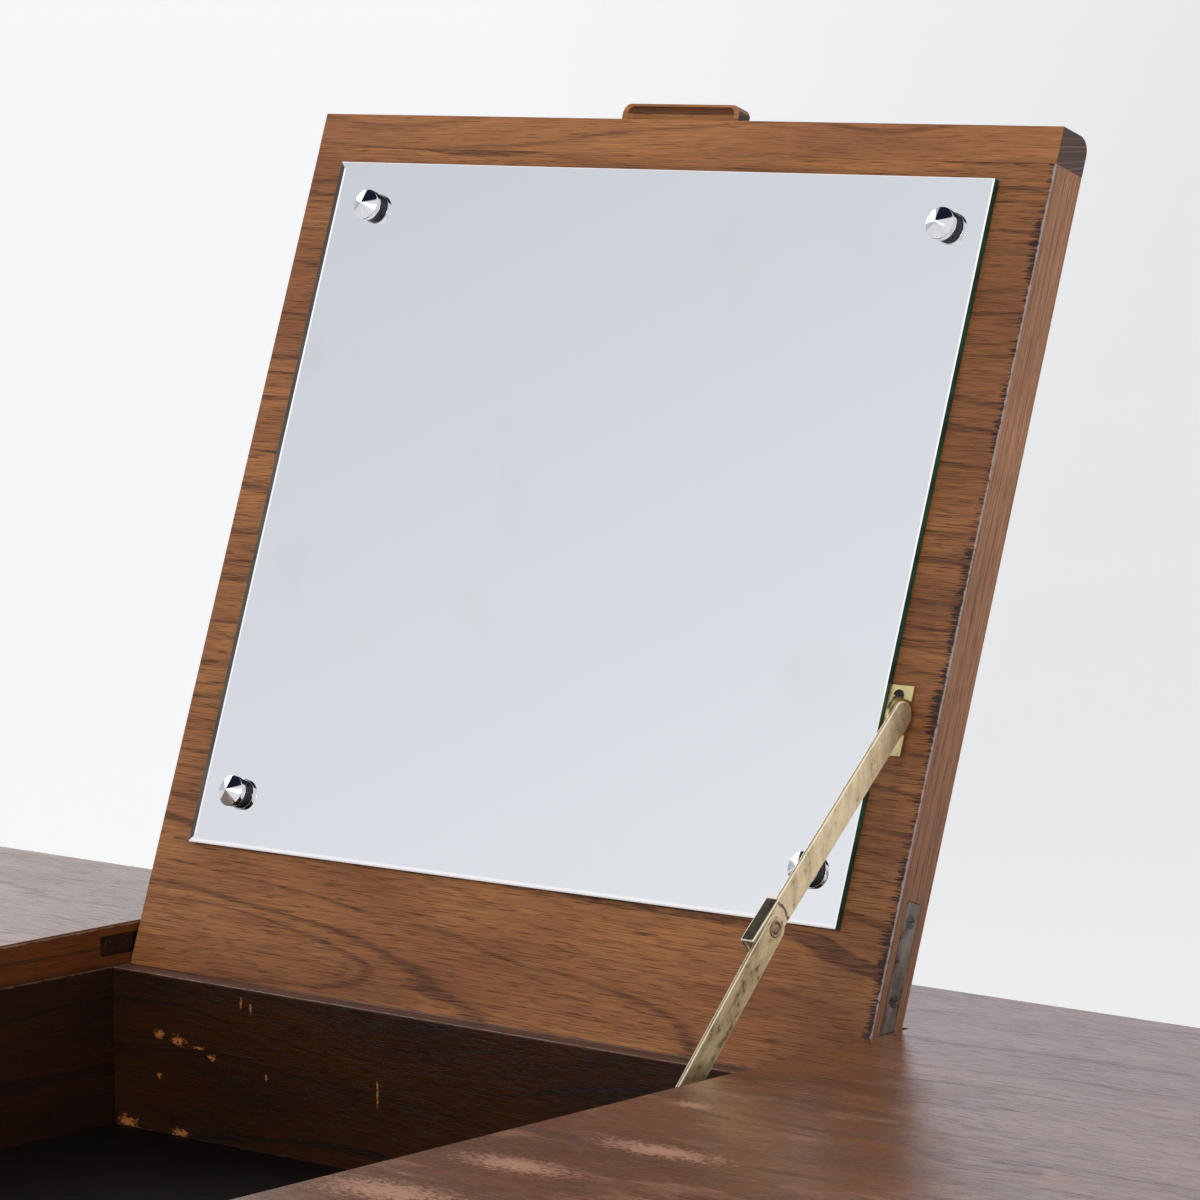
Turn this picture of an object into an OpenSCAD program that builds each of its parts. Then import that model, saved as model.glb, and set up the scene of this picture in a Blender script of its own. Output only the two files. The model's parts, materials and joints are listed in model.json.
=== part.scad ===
// Dressing table with a flip-up mirror lid over a central well, one drawer in
// each wing and a folding brass stay. Millimetres, +Z up, front towards -Y.
// The lid is drawn fully open, leaning back on its stay.

/* [Table] */
// Width of the table top
table_w = 1240; // [1180:10:1400]
// Height of the table top's surface above the floor
table_h = 730; // [680:5:760]
// Distance from the lid's hinge axis back to the rear edge of the top
hinge_to_rear = 109.3; // [95:0.1:160]
// Thickness of the table top and of the lid
top_t = 22.7; // [20:0.1:28]
// Thickness of the veneers
veneer_t = 0.9; // [0.6:0.1:1.5]
// Thickness of the solid-wood lippings round the top and the lid
lipping_t = 6; // [4:0.5:8]
// Overhang of the top beyond the legs and the fronts
overhang = 12; // [8:1:20]

/* [Lid] */
// Width of the lid
lid_w = 500; // [460:2:540]
// Length of the lid from its rear edge to its front edge
lid_l = 480; // [460:2:500]
// Distance from the lid's rear edge to its hinge axis
hinge_inset = 16; // [14:0.5:18]
// Angle that the lid opens from closed, past upright
open_angle = 109.6; // [100:0.1:112]
// Gap between the lid's sides and the opening
side_gap = 1.2; // [1:0.1:2]
// Gap between the closed lid's rear edge and the strip of top behind it
rear_gap = 4; // [4:0.5:6]
// Width of the solid lipping along the lid's front edge
front_lipping_w = 19; // [17:0.5:24]
// Radius on the upper arris of the lid's front edge
nose_r = 8; // [4:0.5:9]
// Width of the finger tab
tab_w = 79; // [60:1:120]
// How far the finger tab stands out of the front edge
tab_out = 9.7; // [6:0.1:12]

/* [Mirror] */
// Thickness of the mirror glass
glass_t = 4.7; // [4:0.1:6]
// Distance from the hinge-side edge of the lid to the glass, at its left corner
glass_v_left = 69.4; // [60:0.1:80]
// The same distance at the glass's right corner
glass_v_right = 72.3; // [60:0.1:80]
// Distance from the lid's rear edge to the far edge of the glass
glass_v_top = 451.4; // [440:0.1:452]
// Left edge of the glass from the lid's centre line, at its far corner
glass_x_left = -226.2; // [-230:0.1:-218]
// How far the glass's left edge runs in from square at its hinge-side corner
glass_out_of_square = 2.8; // [0:0.1:4]
// Right edge of the glass from the lid's centre line
glass_x_right = 218.1; // [216:0.1:218.2]
// Distance from the lid's centre line to each mirror screw
cap_x = 195; // [185:0.5:200]
// Distance from the lid's rear edge to the hinge-side mirror screws
cap_v_low = 98.8; // [92:0.1:110]
// Distance from the lid's rear edge to the far mirror screws
cap_v_high = 425.8; // [410:0.1:430]
// Radius of the chrome caps
cap_r = 8.4; // [7:0.1:10]

/* [Stay] */
// Width of the stay's arms
arm_w = 14; // [12:0.5:16]
// Thickness of the stay's arms
arm_t = 2; // [1.5:0.1:2.5]
// Length of the upper arm between its pivots
upper_arm_l = 135; // [134.5:0.1:135.5]
// Length of the lower arm between its pivots
lower_arm_l = 137; // [136.5:0.1:137.5]
// Slope of the upper arm with the lid open, below the horizontal
upper_arm_slope = 41.85; // [41:0.05:43]
// Slope of the lower arm with the lid open, below the horizontal
lower_arm_slope = 46; // [45:0.05:47]
// Distance from the lid's rear edge to the stay's upper pivot
stay_v = 179; // [176:0.5:182]
// Distance from the lid's underside to the stay's upper pivot
stay_drop = 9; // [8.5:0.1:10]
// Radius of the stay's rivets
rivet_r = 2.5; // [2:0.1:3]

/* [Well and drawers] */
// Depth of the well's floor below the top's surface
well_depth = 108.3; // [90:0.1:109]
// Distance from the hinge axis forward to the well's back wall
well_back_inset = 28.2; // [27:0.1:40]
// Thickness of the well's side walls, which also part off the drawers
well_side_t = 15; // [12:1:18]
// Height of the case below the top
case_h = 109; // [106:1:140]
// Thickness of the drawer fronts
front_t = 18; // [15:1:20]
// Thickness of the rail across the front of the well
rail_t = 14; // [10:0.5:15]
// Length of the drawer boxes behind their fronts
drawer_l = 420; // [360:10:430]

/* [Legs] */
// Width of the square head of each leg
leg_w = 42; // [36:1:50]
// Diameter of each leg just below its square head
leg_top_d = 40; // [30:1:42]
// Diameter of each leg at the floor
leg_foot_d = 25; // [23:1:30]

/* [Hidden] */
$fn = 48;
part_gap = 0.3;
bore_clear = 0.05;

lid_front = -(lid_l - hinge_inset);
half_t = top_t / 2;
well_half_w = lid_w / 2 + side_gap;
opening_rear = hinge_inset + rear_gap;
front_face = lid_front + overhang;
end_face = table_w / 2 - overhang;
leg_x = end_face - leg_w / 2;
leg_front_y = front_face + leg_w / 2;
leg_rear_y = hinge_to_rear - overhang - leg_w / 2;
case_bottom = -top_t - case_h;

// Feet: plain plastic glides, a little narrower than the legs' ends
glide_h = 4;
glide_foot_inset = 2.5;
glide_top_inset = 1.5;

// Finger tab: counted from the lid's two faces
tab_bottom = -half_t + 4;
tab_top = half_t - 9.5;
tab_corner_r = 5;
scoop_r = 5;
scoop_drop = 2.5;
scoop_end = 7.5;
scoop_shift = 0.8;

// Knobs: a straight neck, a cone out to the full radius and a softened face
knob_r = 13;
knob_neck_r = 7;
knob_neck_l = 8;
knob_cone_l = 15;
knob_edge_l = 18;
knob_out = 20;
knob_face_inset = 2;

// The hinge axis is the origin of every length above; this places it so that
// the open table's bounding box is centred over the frame's origin.
open_rear_y = -(lid_front + nose_r) * -cos(open_angle)
    + (half_t - nose_r) * sin(open_angle) + nose_r;
hinge_y = -(front_face - knob_out + open_rear_y) / 2;
hinge_z = table_h - half_t;

// Hinge leaves
leaf_t = 2;
leaf_w = 10.4;
leaf_front_v = 92;
leaf_screws_v = [43.6, 82.4];
fixed_leaf_front = -36;
fixed_leaf_screws = [-30.8, -15];
pin_r = 2.5;

// Countersunk wood screws
screw_head_r = 3.4;
screw_r = 1.6;
screw_head_h = 1.8;
screw_l = 14;
slot_w = 0.8;
slot_d = 0.7;

// Stay: the arms lie side by side in planes of constant X
upper_arm_x = 233.2;
lower_arm_x = upper_arm_x + arm_t + part_gap;
bracket_t = 1.9;
bracket_x = upper_arm_x - part_gap - bracket_t;
bracket_v = [160, 195];
bracket_screws_v = [165.5, 189.5];
bracket_screw_x = 224.5;
ear_r = 8.5;
rivet_head_r = 4.2;
rivet_head_h = 0.9;
stay_top_y = hinge_inset - stay_v;
stay_top_z = -half_t - stay_drop;
stay_top = [
    stay_top_y * cos(open_angle) + stay_top_z * sin(open_angle),
    -stay_top_y * sin(open_angle) + stay_top_z * cos(open_angle)
];
stay_knee = stay_top - upper_arm_l * [cos(upper_arm_slope), sin(upper_arm_slope)];
stay_foot = stay_knee - lower_arm_l * [cos(lower_arm_slope), sin(lower_arm_slope)];
arm_tail = 11;
lug_start = -8.9;
lug_end = 17.5;
lug_h = 5.5;
lug_w = 7.8;
lug_t = 1.8;
wall_plate = [2, 35, 15];
wall_plate_screws_y = [-12, 12];
wall_boss_r = 5;

// Mirror fixings
glass_hole_r = 4;
washer_r = 7.7;
washer_t = 3;
cap_rim_h = 3;
cap_cone_h = 3.8;
cap_screw_r = 2;
cap_screw_l = 16;

// Case
apron_t = 20;
apron_inset = 2;
apron_back_y = hinge_to_rear - overhang - apron_inset - apron_t;
well_front_y = front_face + rail_t;
back_wall_t = 11.7;
floor_t = 6;
bed_t = 6;
guide_w = leg_w - apron_t - apron_inset;
guide_h = 26;

// Drawers
drawer_gap = 1.5;
drawer_x0 = well_half_w + well_side_t + drawer_gap;
drawer_x1 = end_face - leg_w - drawer_gap;
drawer_side_t = 10;
drawer_bottom_t = 5;
drawer_groove_z = 8;
drawer_groove_d = 5;
drawer_side_h = 86;
drawer_front_low = case_bottom + 0.5;
drawer_front_high = -top_t - 2;
drawer_box_front = front_face + front_t;
drawer_box_back = drawer_box_front + drawer_l;
drawer_z0 = case_bottom + bed_t + part_gap;

wood = "sienna";
dark_wood = "saddlebrown";

// A box between two opposite corners
module block(lo, hi) {
    translate(lo) cube(hi - lo);
}

// Moves lengths counted from the hinge axis into the table's frame
module at_hinge() {
    translate([0, hinge_y, hinge_z]) children();
}

// Moves lengths counted from the hinge axis at the top's surface
module below_top() {
    translate([0, hinge_y, table_h]) children();
}

// Moves the closed lid's own lengths to the open lid
module opened() {
    at_hinge() rotate([-open_angle, 0, 0]) children();
}

// side is -1 for the left half and 1 for the right half
module on_side(side) {
    if (side < 0) mirror([1, 0, 0]) children();
    else children();
}

// A cylinder along +X from x0 to x1
module x_rod(x0, x1, r) {
    translate([x0, 0, 0]) rotate([0, 90, 0]) cylinder(h = x1 - x0, r = r);
}

// A countersunk screw with its head flush at the origin and its shank along +Z
module screw_blank() {
    cylinder(h = screw_head_h, r1 = screw_head_r, r2 = screw_r);
    translate([0, 0, screw_head_h]) cylinder(h = screw_l - screw_head_h, r = screw_r);
}

module wood_screw() {
    difference() {
        screw_blank();
        block([-screw_head_r, -slot_w / 2, -1], [screw_head_r, slot_w / 2, slot_d]);
    }
}

// Places children at each screw of the right-hand fixed hinge leaf, pointing +X
module at_fixed_leaf_screws() {
    for (y = fixed_leaf_screws)
        translate([well_half_w, y, 0]) rotate([0, 90, 0]) children();
}

// The same for the right-hand lid leaf, pointing -X, in the lid's own frame
module at_lid_leaf_screws() {
    for (v = leaf_screws_v)
        translate([lid_w / 2, hinge_inset - v, 0]) rotate([0, -90, 0]) children();
}

// The screws of the stay's lid bracket, pointing into the lid
module at_bracket_screws() {
    for (v = bracket_screws_v)
        translate([bracket_screw_x, hinge_inset - v, -half_t - bracket_t]) children();
}

// The screws of the stay's wall plate, pointing into the well's side
module at_wall_plate_screws() {
    for (y = wall_plate_screws_y)
        translate([well_half_w - wall_plate.x, stay_foot.x + y, stay_foot.y])
            rotate([0, 90, 0]) children();
}

module at_mirror_screws() {
    for (x = [-cap_x, cap_x], v = [cap_v_low, cap_v_high])
        translate([x, hinge_inset - v, -half_t]) children();
}

// ---- Table top -------------------------------------------------------------

// U-shaped plate: margin is how far its edges stay inside the finished outline
module top_plate(margin, z0, z1) {
    difference() {
        block([-table_w / 2 + margin, lid_front + margin, z0],
              [table_w / 2 - margin, hinge_to_rear - margin, z1]);
        block([-well_half_w - margin, lid_front - 1, z0 - 1],
              [well_half_w + margin, opening_rear, z1 + 1]);
    }
}

module top_core() {
    color(wood) difference() {
        below_top() top_plate(lipping_t, -top_t, -veneer_t);
        for (side = [-1, 1])
            at_hinge() on_side(side) at_fixed_leaf_screws() screw_blank();
    }
}

module top_veneer() {
    color(dark_wood) below_top() top_plate(0, -veneer_t, 0);
}

// Solid strip on the opening's side edge, with the hinge leaf let into it
module opening_lipping(side) {
    color(wood) on_side(side) difference() {
        below_top() block([well_half_w, lid_front, -top_t],
                          [well_half_w + lipping_t, opening_rear, -veneer_t]);
        at_hinge() {
            block([well_half_w - 1, fixed_leaf_front, -leaf_w / 2],
                  [well_half_w + leaf_t, 0, leaf_w / 2]);
            x_rod(well_half_w - 1, well_half_w + leaf_t, leaf_w / 2);
            at_fixed_leaf_screws() screw_blank();
        }
    }
}

module front_lipping(side) {
    color(wood) on_side(side) below_top()
        block([well_half_w + lipping_t, lid_front, -top_t],
              [table_w / 2 - lipping_t, lid_front + lipping_t, -veneer_t]);
}

module end_lipping(side) {
    color(wood) on_side(side) below_top()
        block([table_w / 2 - lipping_t, lid_front, -top_t],
              [table_w / 2, hinge_to_rear, -veneer_t]);
}

module rear_lipping() {
    color(wood) below_top()
        block([-table_w / 2 + lipping_t, hinge_to_rear - lipping_t, -top_t],
              [table_w / 2 - lipping_t, hinge_to_rear, -veneer_t]);
}

// ---- Well ------------------------------------------------------------------

module well_side(side) {
    color(dark_wood) difference() {
        on_side(side) below_top()
            block([well_half_w, front_face, case_bottom],
                  [well_half_w + well_side_t, apron_back_y, -top_t]);
        if (side > 0) at_hinge() at_wall_plate_screws() screw_blank();
    }
}

module well_back() {
    color(dark_wood) below_top()
        block([-well_half_w, -well_back_inset, -well_depth - floor_t],
              [well_half_w, -well_back_inset + back_wall_t, -top_t - part_gap]);
}

module well_floor() {
    color(dark_wood) below_top()
        block([-well_half_w, well_front_y, -well_depth - floor_t],
              [well_half_w, -well_back_inset, -well_depth]);
}

module front_rail() {
    color(wood) below_top()
        block([-well_half_w, front_face, case_bottom],
              [well_half_w, well_front_y, -top_t - part_gap]);
}

// ---- Case and legs ---------------------------------------------------------

module end_apron(side) {
    color(wood) on_side(side) below_top()
        block([end_face - apron_inset - apron_t, leg_front_y + leg_w / 2, case_bottom],
              [end_face - apron_inset, leg_rear_y - leg_w / 2, -top_t]);
}

module back_apron() {
    color(wood) below_top()
        block([-end_face + leg_w, apron_back_y, case_bottom],
              [end_face - leg_w, apron_back_y + apron_t, -top_t]);
}

// Turned leg with a square head; its shaft is one straight taper to the glide
module leg(x, y) {
    shaft_h = table_h - top_t - case_h - glide_h;
    color(wood) translate([x, hinge_y + y, glide_h]) {
        cylinder(h = shaft_h, r1 = leg_foot_d / 2, r2 = leg_top_d / 2);
        translate([-leg_w / 2, -leg_w / 2, shaft_h]) cube([leg_w, leg_w, case_h]);
    }
}

module foot_glides() {
    color("dimgray")
        for (x = [-leg_x, leg_x], y = [leg_front_y, leg_rear_y])
            translate([x, hinge_y + y, 0])
                cylinder(h = glide_h, r1 = leg_foot_d / 2 - glide_foot_inset,
                         r2 = leg_foot_d / 2 - glide_top_inset);
}

// Thin panel that the drawer runs on, let in between the side and the legs
module drawer_bed(side) {
    color(dark_wood) on_side(side) below_top()
        block([well_half_w + well_side_t, drawer_box_front, case_bottom],
              [end_face - leg_w, apron_back_y, case_bottom + bed_t]);
}

// Strips inside the end aprons that keep the drawers straight
module drawer_guides() {
    color(dark_wood) for (side = [-1, 1])
        on_side(side) below_top()
            block([end_face - leg_w, leg_front_y + leg_w / 2, case_bottom],
                  [end_face - leg_w + guide_w, leg_rear_y - leg_w / 2,
                   case_bottom + guide_h]);
}

// ---- Hinges ----------------------------------------------------------------

module fixed_hinge_leaf(side) {
    color("dimgray") at_hinge() on_side(side) difference() {
        union() {
            block([well_half_w, fixed_leaf_front, -leaf_w / 2],
                  [well_half_w + leaf_t, 0, leaf_w / 2]);
            x_rod(well_half_w, well_half_w + leaf_t, leaf_w / 2);
        }
        x_rod(well_half_w - 1, well_half_w + leaf_t + 1, pin_r);
        at_fixed_leaf_screws() screw_blank();
    }
}

module hinge_pins() {
    color("gray") at_hinge() for (side = [-1, 1])
        on_side(side) x_rod(lid_w / 2 - leaf_t + part_gap, well_half_w + leaf_t, pin_r);
}

module lid_hinge_leaf(side) {
    color("dimgray") opened() on_side(side) difference() {
        union() {
            block([lid_w / 2 - leaf_t, hinge_inset - leaf_front_v, -leaf_w / 2],
                  [lid_w / 2, 0, leaf_w / 2]);
            x_rod(lid_w / 2 - leaf_t, lid_w / 2, leaf_w / 2);
        }
        x_rod(lid_w / 2 - leaf_t - 1, lid_w / 2 + 1, pin_r + bore_clear);
        at_lid_leaf_screws() screw_blank();
    }
}

module table_wood_screws() {
    color("gray") {
        for (side = [-1, 1])
            at_hinge() on_side(side) at_fixed_leaf_screws() wood_screw();
        at_hinge() at_wall_plate_screws() wood_screw();
    }
}

module lid_wood_screws() {
    color("gray") opened() {
        for (side = [-1, 1]) on_side(side) at_lid_leaf_screws() wood_screw();
        at_bracket_screws() wood_screw();
    }
}

// ---- Lid -------------------------------------------------------------------

module lid_core() {
    color(wood) opened() difference() {
        block([-lid_w / 2 + lipping_t, lid_front + front_lipping_w, -half_t + veneer_t],
              [lid_w / 2 - lipping_t, hinge_inset - lipping_t, half_t - veneer_t]);
        for (side = [-1, 1]) on_side(side) at_lid_leaf_screws() screw_blank();
        at_bracket_screws() screw_blank();
        at_mirror_screws() cylinder(h = cap_screw_l, r = cap_screw_r);
    }
}

module lid_underside_veneer() {
    color(wood) opened() difference() {
        block([-lid_w / 2, lid_front + front_lipping_w, -half_t],
              [lid_w / 2, hinge_inset, -half_t + veneer_t]);
        at_bracket_screws() screw_blank();
        at_mirror_screws() cylinder(h = cap_screw_l, r = cap_screw_r);
    }
}

module lid_outer_veneer() {
    color(dark_wood) opened()
        block([-lid_w / 2, lid_front + front_lipping_w, half_t - veneer_t],
              [lid_w / 2, hinge_inset, half_t]);
}

module lid_side_lipping(side) {
    color(wood) opened() on_side(side) difference() {
        block([lid_w / 2 - lipping_t, lid_front + front_lipping_w, -half_t + veneer_t],
              [lid_w / 2, hinge_inset, half_t - veneer_t]);
        block([lid_w / 2 - leaf_t, hinge_inset - leaf_front_v, -leaf_w / 2],
              [lid_w / 2 + 1, 0, leaf_w / 2]);
        x_rod(lid_w / 2 - leaf_t, lid_w / 2 + 1, leaf_w / 2);
        at_lid_leaf_screws() screw_blank();
    }
}

module lid_rear_lipping() {
    color(wood) opened()
        block([-lid_w / 2 + lipping_t, hinge_inset - lipping_t, -half_t + veneer_t],
              [lid_w / 2 - lipping_t, hinge_inset, half_t - veneer_t]);
}

// Plan of the finger tab: a straight edge with a rounded corner at each end,
// standing out of the lid's front edge
module tab_plan() {
    corner_x = tab_w / 2 - tab_corner_r;
    translate([-corner_x, -tab_out]) square([2 * corner_x, tab_out + 1]);
    translate([-tab_w / 2, tab_corner_r - tab_out])
        square([tab_w, tab_out + 1 - tab_corner_r]);
    for (x = [-corner_x, corner_x])
        translate([x, tab_corner_r - tab_out]) circle(r = tab_corner_r);
}

module lid_front_lipping() {
    color(wood) opened() {
        difference() {
            block([-lid_w / 2, lid_front, -half_t],
                  [lid_w / 2, lid_front + front_lipping_w, half_t]);
            difference() {
                block([-lid_w, lid_front - 1, half_t - nose_r],
                      [lid_w, lid_front + nose_r, half_t + 1]);
                translate([0, lid_front + nose_r, half_t - nose_r])
                    x_rod(-lid_w - 1, lid_w + 1, nose_r);
            }
        }
        difference() {
            translate([0, lid_front, tab_bottom])
                linear_extrude(tab_top - tab_bottom) tab_plan();
            // finger groove scooped out of the tab's underside
            translate([0, lid_front - tab_out / 2 + scoop_shift, tab_bottom - scoop_drop]) {
                x_rod(-tab_w / 2 + scoop_end, tab_w / 2 - scoop_end, scoop_r);
                for (x = [-1, 1])
                    translate([x * (tab_w / 2 - scoop_end), 0, 0]) sphere(r = scoop_r);
            }
        }
    }
}

// ---- Mirror ----------------------------------------------------------------

module mirror_glass() {
    color("lightsteelblue", 0.9) opened() difference() {
        translate([0, hinge_inset, -half_t - glass_t]) linear_extrude(glass_t)
            polygon([
                [glass_x_left, -glass_v_top],
                [glass_x_right, -glass_v_top],
                [glass_x_right, -glass_v_right],
                [glass_x_left + glass_out_of_square, -glass_v_left]
            ]);
        at_mirror_screws() translate([0, 0, -glass_t - 1])
            cylinder(h = glass_t + 2, r = glass_hole_r);
    }
}

// Rubber washers with a sleeve that lines the hole in the glass
module mirror_washers() {
    color("black") opened() at_mirror_screws() difference() {
        union() {
            translate([0, 0, -glass_t - washer_t]) cylinder(h = washer_t, r = washer_r);
            translate([0, 0, -glass_t]) cylinder(h = glass_t, r = glass_hole_r);
        }
        translate([0, 0, -glass_t - washer_t - 1])
            cylinder(h = glass_t + washer_t + 2, r = cap_screw_r);
    }
}

module mirror_screws() {
    color("gray") opened() at_mirror_screws()
        translate([0, 0, -glass_t - washer_t - cap_rim_h])
            cylinder(h = glass_t + washer_t + cap_rim_h + cap_screw_l, r = cap_screw_r);
}

// Low polished cones with a straight rim, screwed on over the mirror screws
module mirror_caps() {
    color("silver") opened() at_mirror_screws()
        translate([0, 0, -glass_t - washer_t]) rotate([180, 0, 0]) difference() {
            union() {
                cylinder(h = cap_rim_h, r = cap_r);
                translate([0, 0, cap_rim_h]) cylinder(h = cap_cone_h, r1 = cap_r, r2 = 0.1);
            }
            translate([0, 0, -1]) cylinder(h = cap_rim_h + 1, r = cap_screw_r);
        }
}

// ---- Stay ------------------------------------------------------------------

module stay_lid_bracket() {
    color("darkkhaki") opened() difference() {
        union() {
            block([glass_x_right + part_gap, hinge_inset - bracket_v[1], -half_t - bracket_t],
                  [bracket_x + bracket_t, hinge_inset - bracket_v[0], -half_t]);
            translate([0, stay_top_y, stay_top_z]) x_rod(bracket_x, bracket_x + bracket_t, ear_r);
            block([bracket_x, stay_top_y - ear_r, stay_top_z],
                  [bracket_x + bracket_t, stay_top_y + ear_r, -half_t]);
        }
        translate([0, stay_top_y, stay_top_z])
            x_rod(bracket_x - 1, bracket_x + bracket_t + 1, rivet_r);
        at_bracket_screws() screw_blank();
    }
}

module stay_top_rivet() {
    color("darkkhaki") opened() translate([0, stay_top_y, stay_top_z]) {
        x_rod(bracket_x - rivet_head_h, bracket_x, rivet_head_r);
        x_rod(bracket_x, upper_arm_x + arm_t, rivet_r);
    }
}

// Turns an arm's own lengths, along +Y from its upper pivot, to its slope
module along_arm(pivot, slope) {
    at_hinge() translate([0, pivot.x, pivot.y]) rotate([180 + slope, 0, 0]) children();
}

// Flat bar with round ends; its knee lug is folded out over the lower arm
module stay_upper_arm() {
    color("darkkhaki") along_arm(stay_top, upper_arm_slope) difference() {
        union() {
            block([upper_arm_x, 0, -arm_w / 2],
                  [upper_arm_x + arm_t, upper_arm_l + arm_tail, arm_w / 2]);
            x_rod(upper_arm_x, upper_arm_x + arm_t, arm_w / 2);
            translate([0, upper_arm_l + arm_tail, 0])
                x_rod(upper_arm_x, upper_arm_x + arm_t, arm_w / 2);
            block([upper_arm_x, upper_arm_l + lug_start, -arm_w / 2 - lug_h],
                  [upper_arm_x + arm_t, upper_arm_l + lug_end, 0]);
            block([upper_arm_x, upper_arm_l + lug_start, -arm_w / 2 - lug_h],
                  [upper_arm_x + lug_w, upper_arm_l + lug_end, -arm_w / 2 - lug_h + lug_t]);
        }
        x_rod(upper_arm_x - 1, upper_arm_x + arm_t + 1, rivet_r + bore_clear);
        translate([0, upper_arm_l, 0])
            x_rod(upper_arm_x - 1, upper_arm_x + arm_t + 1, rivet_r + bore_clear);
    }
}

module stay_lower_arm() {
    color("darkkhaki") along_arm(stay_knee, lower_arm_slope) difference() {
        union() {
            block([lower_arm_x, 0, -arm_w / 2],
                  [lower_arm_x + arm_t, lower_arm_l, arm_w / 2]);
            for (y = [0, lower_arm_l])
                translate([0, y, 0]) x_rod(lower_arm_x, lower_arm_x + arm_t, arm_w / 2);
        }
        for (y = [0, lower_arm_l])
            translate([0, y, 0]) x_rod(lower_arm_x - 1, lower_arm_x + arm_t + 1, rivet_r);
    }
}

module stay_knee_rivet() {
    color("darkkhaki") along_arm(stay_knee, lower_arm_slope) {
        x_rod(upper_arm_x - part_gap - rivet_head_h, upper_arm_x - part_gap, rivet_head_r);
        x_rod(upper_arm_x - part_gap, lower_arm_x + arm_t, rivet_r);
        x_rod(lower_arm_x + arm_t, lower_arm_x + arm_t + rivet_head_h / 2, rivet_head_r);
    }
}

// Rivet at the foot, flush in the arm, that turns against the wall plate's boss
module stay_foot_rivet() {
    color("darkkhaki") along_arm(stay_knee, lower_arm_slope) translate([0, lower_arm_l, 0])
        x_rod(lower_arm_x, lower_arm_x + arm_t, rivet_r);
}

module stay_wall_plate() {
    plate_x = well_half_w - wall_plate.x;
    color("darkkhaki") at_hinge() difference() {
        translate([0, stay_foot.x, stay_foot.y]) {
            block([plate_x, -wall_plate.y / 2, -wall_plate.z / 2],
                  [well_half_w, wall_plate.y / 2, wall_plate.z / 2]);
            x_rod(lower_arm_x + arm_t + part_gap, plate_x, wall_boss_r);
        }
        at_wall_plate_screws() screw_blank();
    }
}

// ---- Drawers ---------------------------------------------------------------

module drawer_front(side) {
    color(wood) on_side(side) below_top() difference() {
        block([drawer_x0, front_face, drawer_front_low],
              [drawer_x1, drawer_box_front, drawer_front_high]);
        block([drawer_x0 + drawer_side_t - drawer_groove_d,
               drawer_box_front - drawer_groove_d, drawer_z0 + drawer_groove_z],
              [drawer_x1 - drawer_side_t + drawer_groove_d, drawer_box_front + 1,
               drawer_z0 + drawer_groove_z + drawer_bottom_t]);
    }
}

module drawer_sides(side) {
    color(dark_wood) on_side(side) below_top() difference() {
        for (x = [drawer_x0, drawer_x1 - drawer_side_t])
            block([x, drawer_box_front, drawer_z0],
                  [x + drawer_side_t, drawer_box_back, drawer_z0 + drawer_side_h]);
        block([drawer_x0 + drawer_side_t - drawer_groove_d, drawer_box_front - 1,
               drawer_z0 + drawer_groove_z],
              [drawer_x1 - drawer_side_t + drawer_groove_d, drawer_box_back + 1,
               drawer_z0 + drawer_groove_z + drawer_bottom_t]);
    }
}

module drawer_back(side) {
    color(dark_wood) on_side(side) below_top()
        block([drawer_x0 + drawer_side_t, drawer_box_back - drawer_side_t,
               drawer_z0 + drawer_groove_z + drawer_bottom_t],
              [drawer_x1 - drawer_side_t, drawer_box_back, drawer_z0 + drawer_side_h]);
}

module drawer_bottom(side) {
    color(dark_wood) on_side(side) below_top()
        block([drawer_x0 + drawer_side_t - drawer_groove_d,
               drawer_box_front - drawer_groove_d, drawer_z0 + drawer_groove_z],
              [drawer_x1 - drawer_side_t + drawer_groove_d, drawer_box_back,
               drawer_z0 + drawer_groove_z + drawer_bottom_t]);
}

// Turned knob: neck, cone and a flat face with a softened edge
module drawer_knob(side) {
    color(wood) on_side(side) below_top()
        translate([(drawer_x0 + drawer_x1) / 2, front_face,
                   (drawer_front_low + drawer_front_high) / 2])
            rotate([90, 0, 0]) rotate_extrude() polygon([
                [0, 0], [knob_neck_r, 0], [knob_neck_r, knob_neck_l],
                [knob_r, knob_cone_l], [knob_r, knob_edge_l],
                [knob_r - knob_face_inset, knob_out], [0, knob_out]
            ]);
}

top_core();
top_veneer();
opening_lipping(-1);  // left_opening_lipping
opening_lipping(1);  // right_opening_lipping
front_lipping(-1);  // left_front_lipping
front_lipping(1);  // right_front_lipping
end_lipping(-1);  // left_end_lipping
end_lipping(1);  // right_end_lipping
rear_lipping();
well_side(-1);  // left_well_side
well_side(1);  // right_well_side
well_back();
well_floor();
front_rail();
end_apron(-1);  // left_end_apron
end_apron(1);  // right_end_apron
back_apron();
leg(-leg_x, leg_front_y);  // front_left_leg
leg(leg_x, leg_front_y);  // front_right_leg
leg(-leg_x, leg_rear_y);  // rear_left_leg
leg(leg_x, leg_rear_y);  // rear_right_leg
foot_glides();
drawer_bed(-1);  // left_drawer_bed
drawer_bed(1);  // right_drawer_bed
drawer_guides();
fixed_hinge_leaf(-1);  // left_fixed_hinge_leaf
fixed_hinge_leaf(1);  // right_fixed_hinge_leaf
hinge_pins();
table_wood_screws();
stay_wall_plate();
lid_core();
lid_underside_veneer();
lid_outer_veneer();
lid_front_lipping();
lid_rear_lipping();
lid_side_lipping(-1);  // lid_left_lipping
lid_side_lipping(1);  // lid_right_lipping
lid_hinge_leaf(-1);  // left_lid_hinge_leaf
lid_hinge_leaf(1);  // right_lid_hinge_leaf
lid_wood_screws();
mirror_glass();
mirror_washers();
mirror_screws();
mirror_caps();
stay_lid_bracket();
stay_top_rivet();
stay_upper_arm();
stay_lower_arm();
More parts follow.
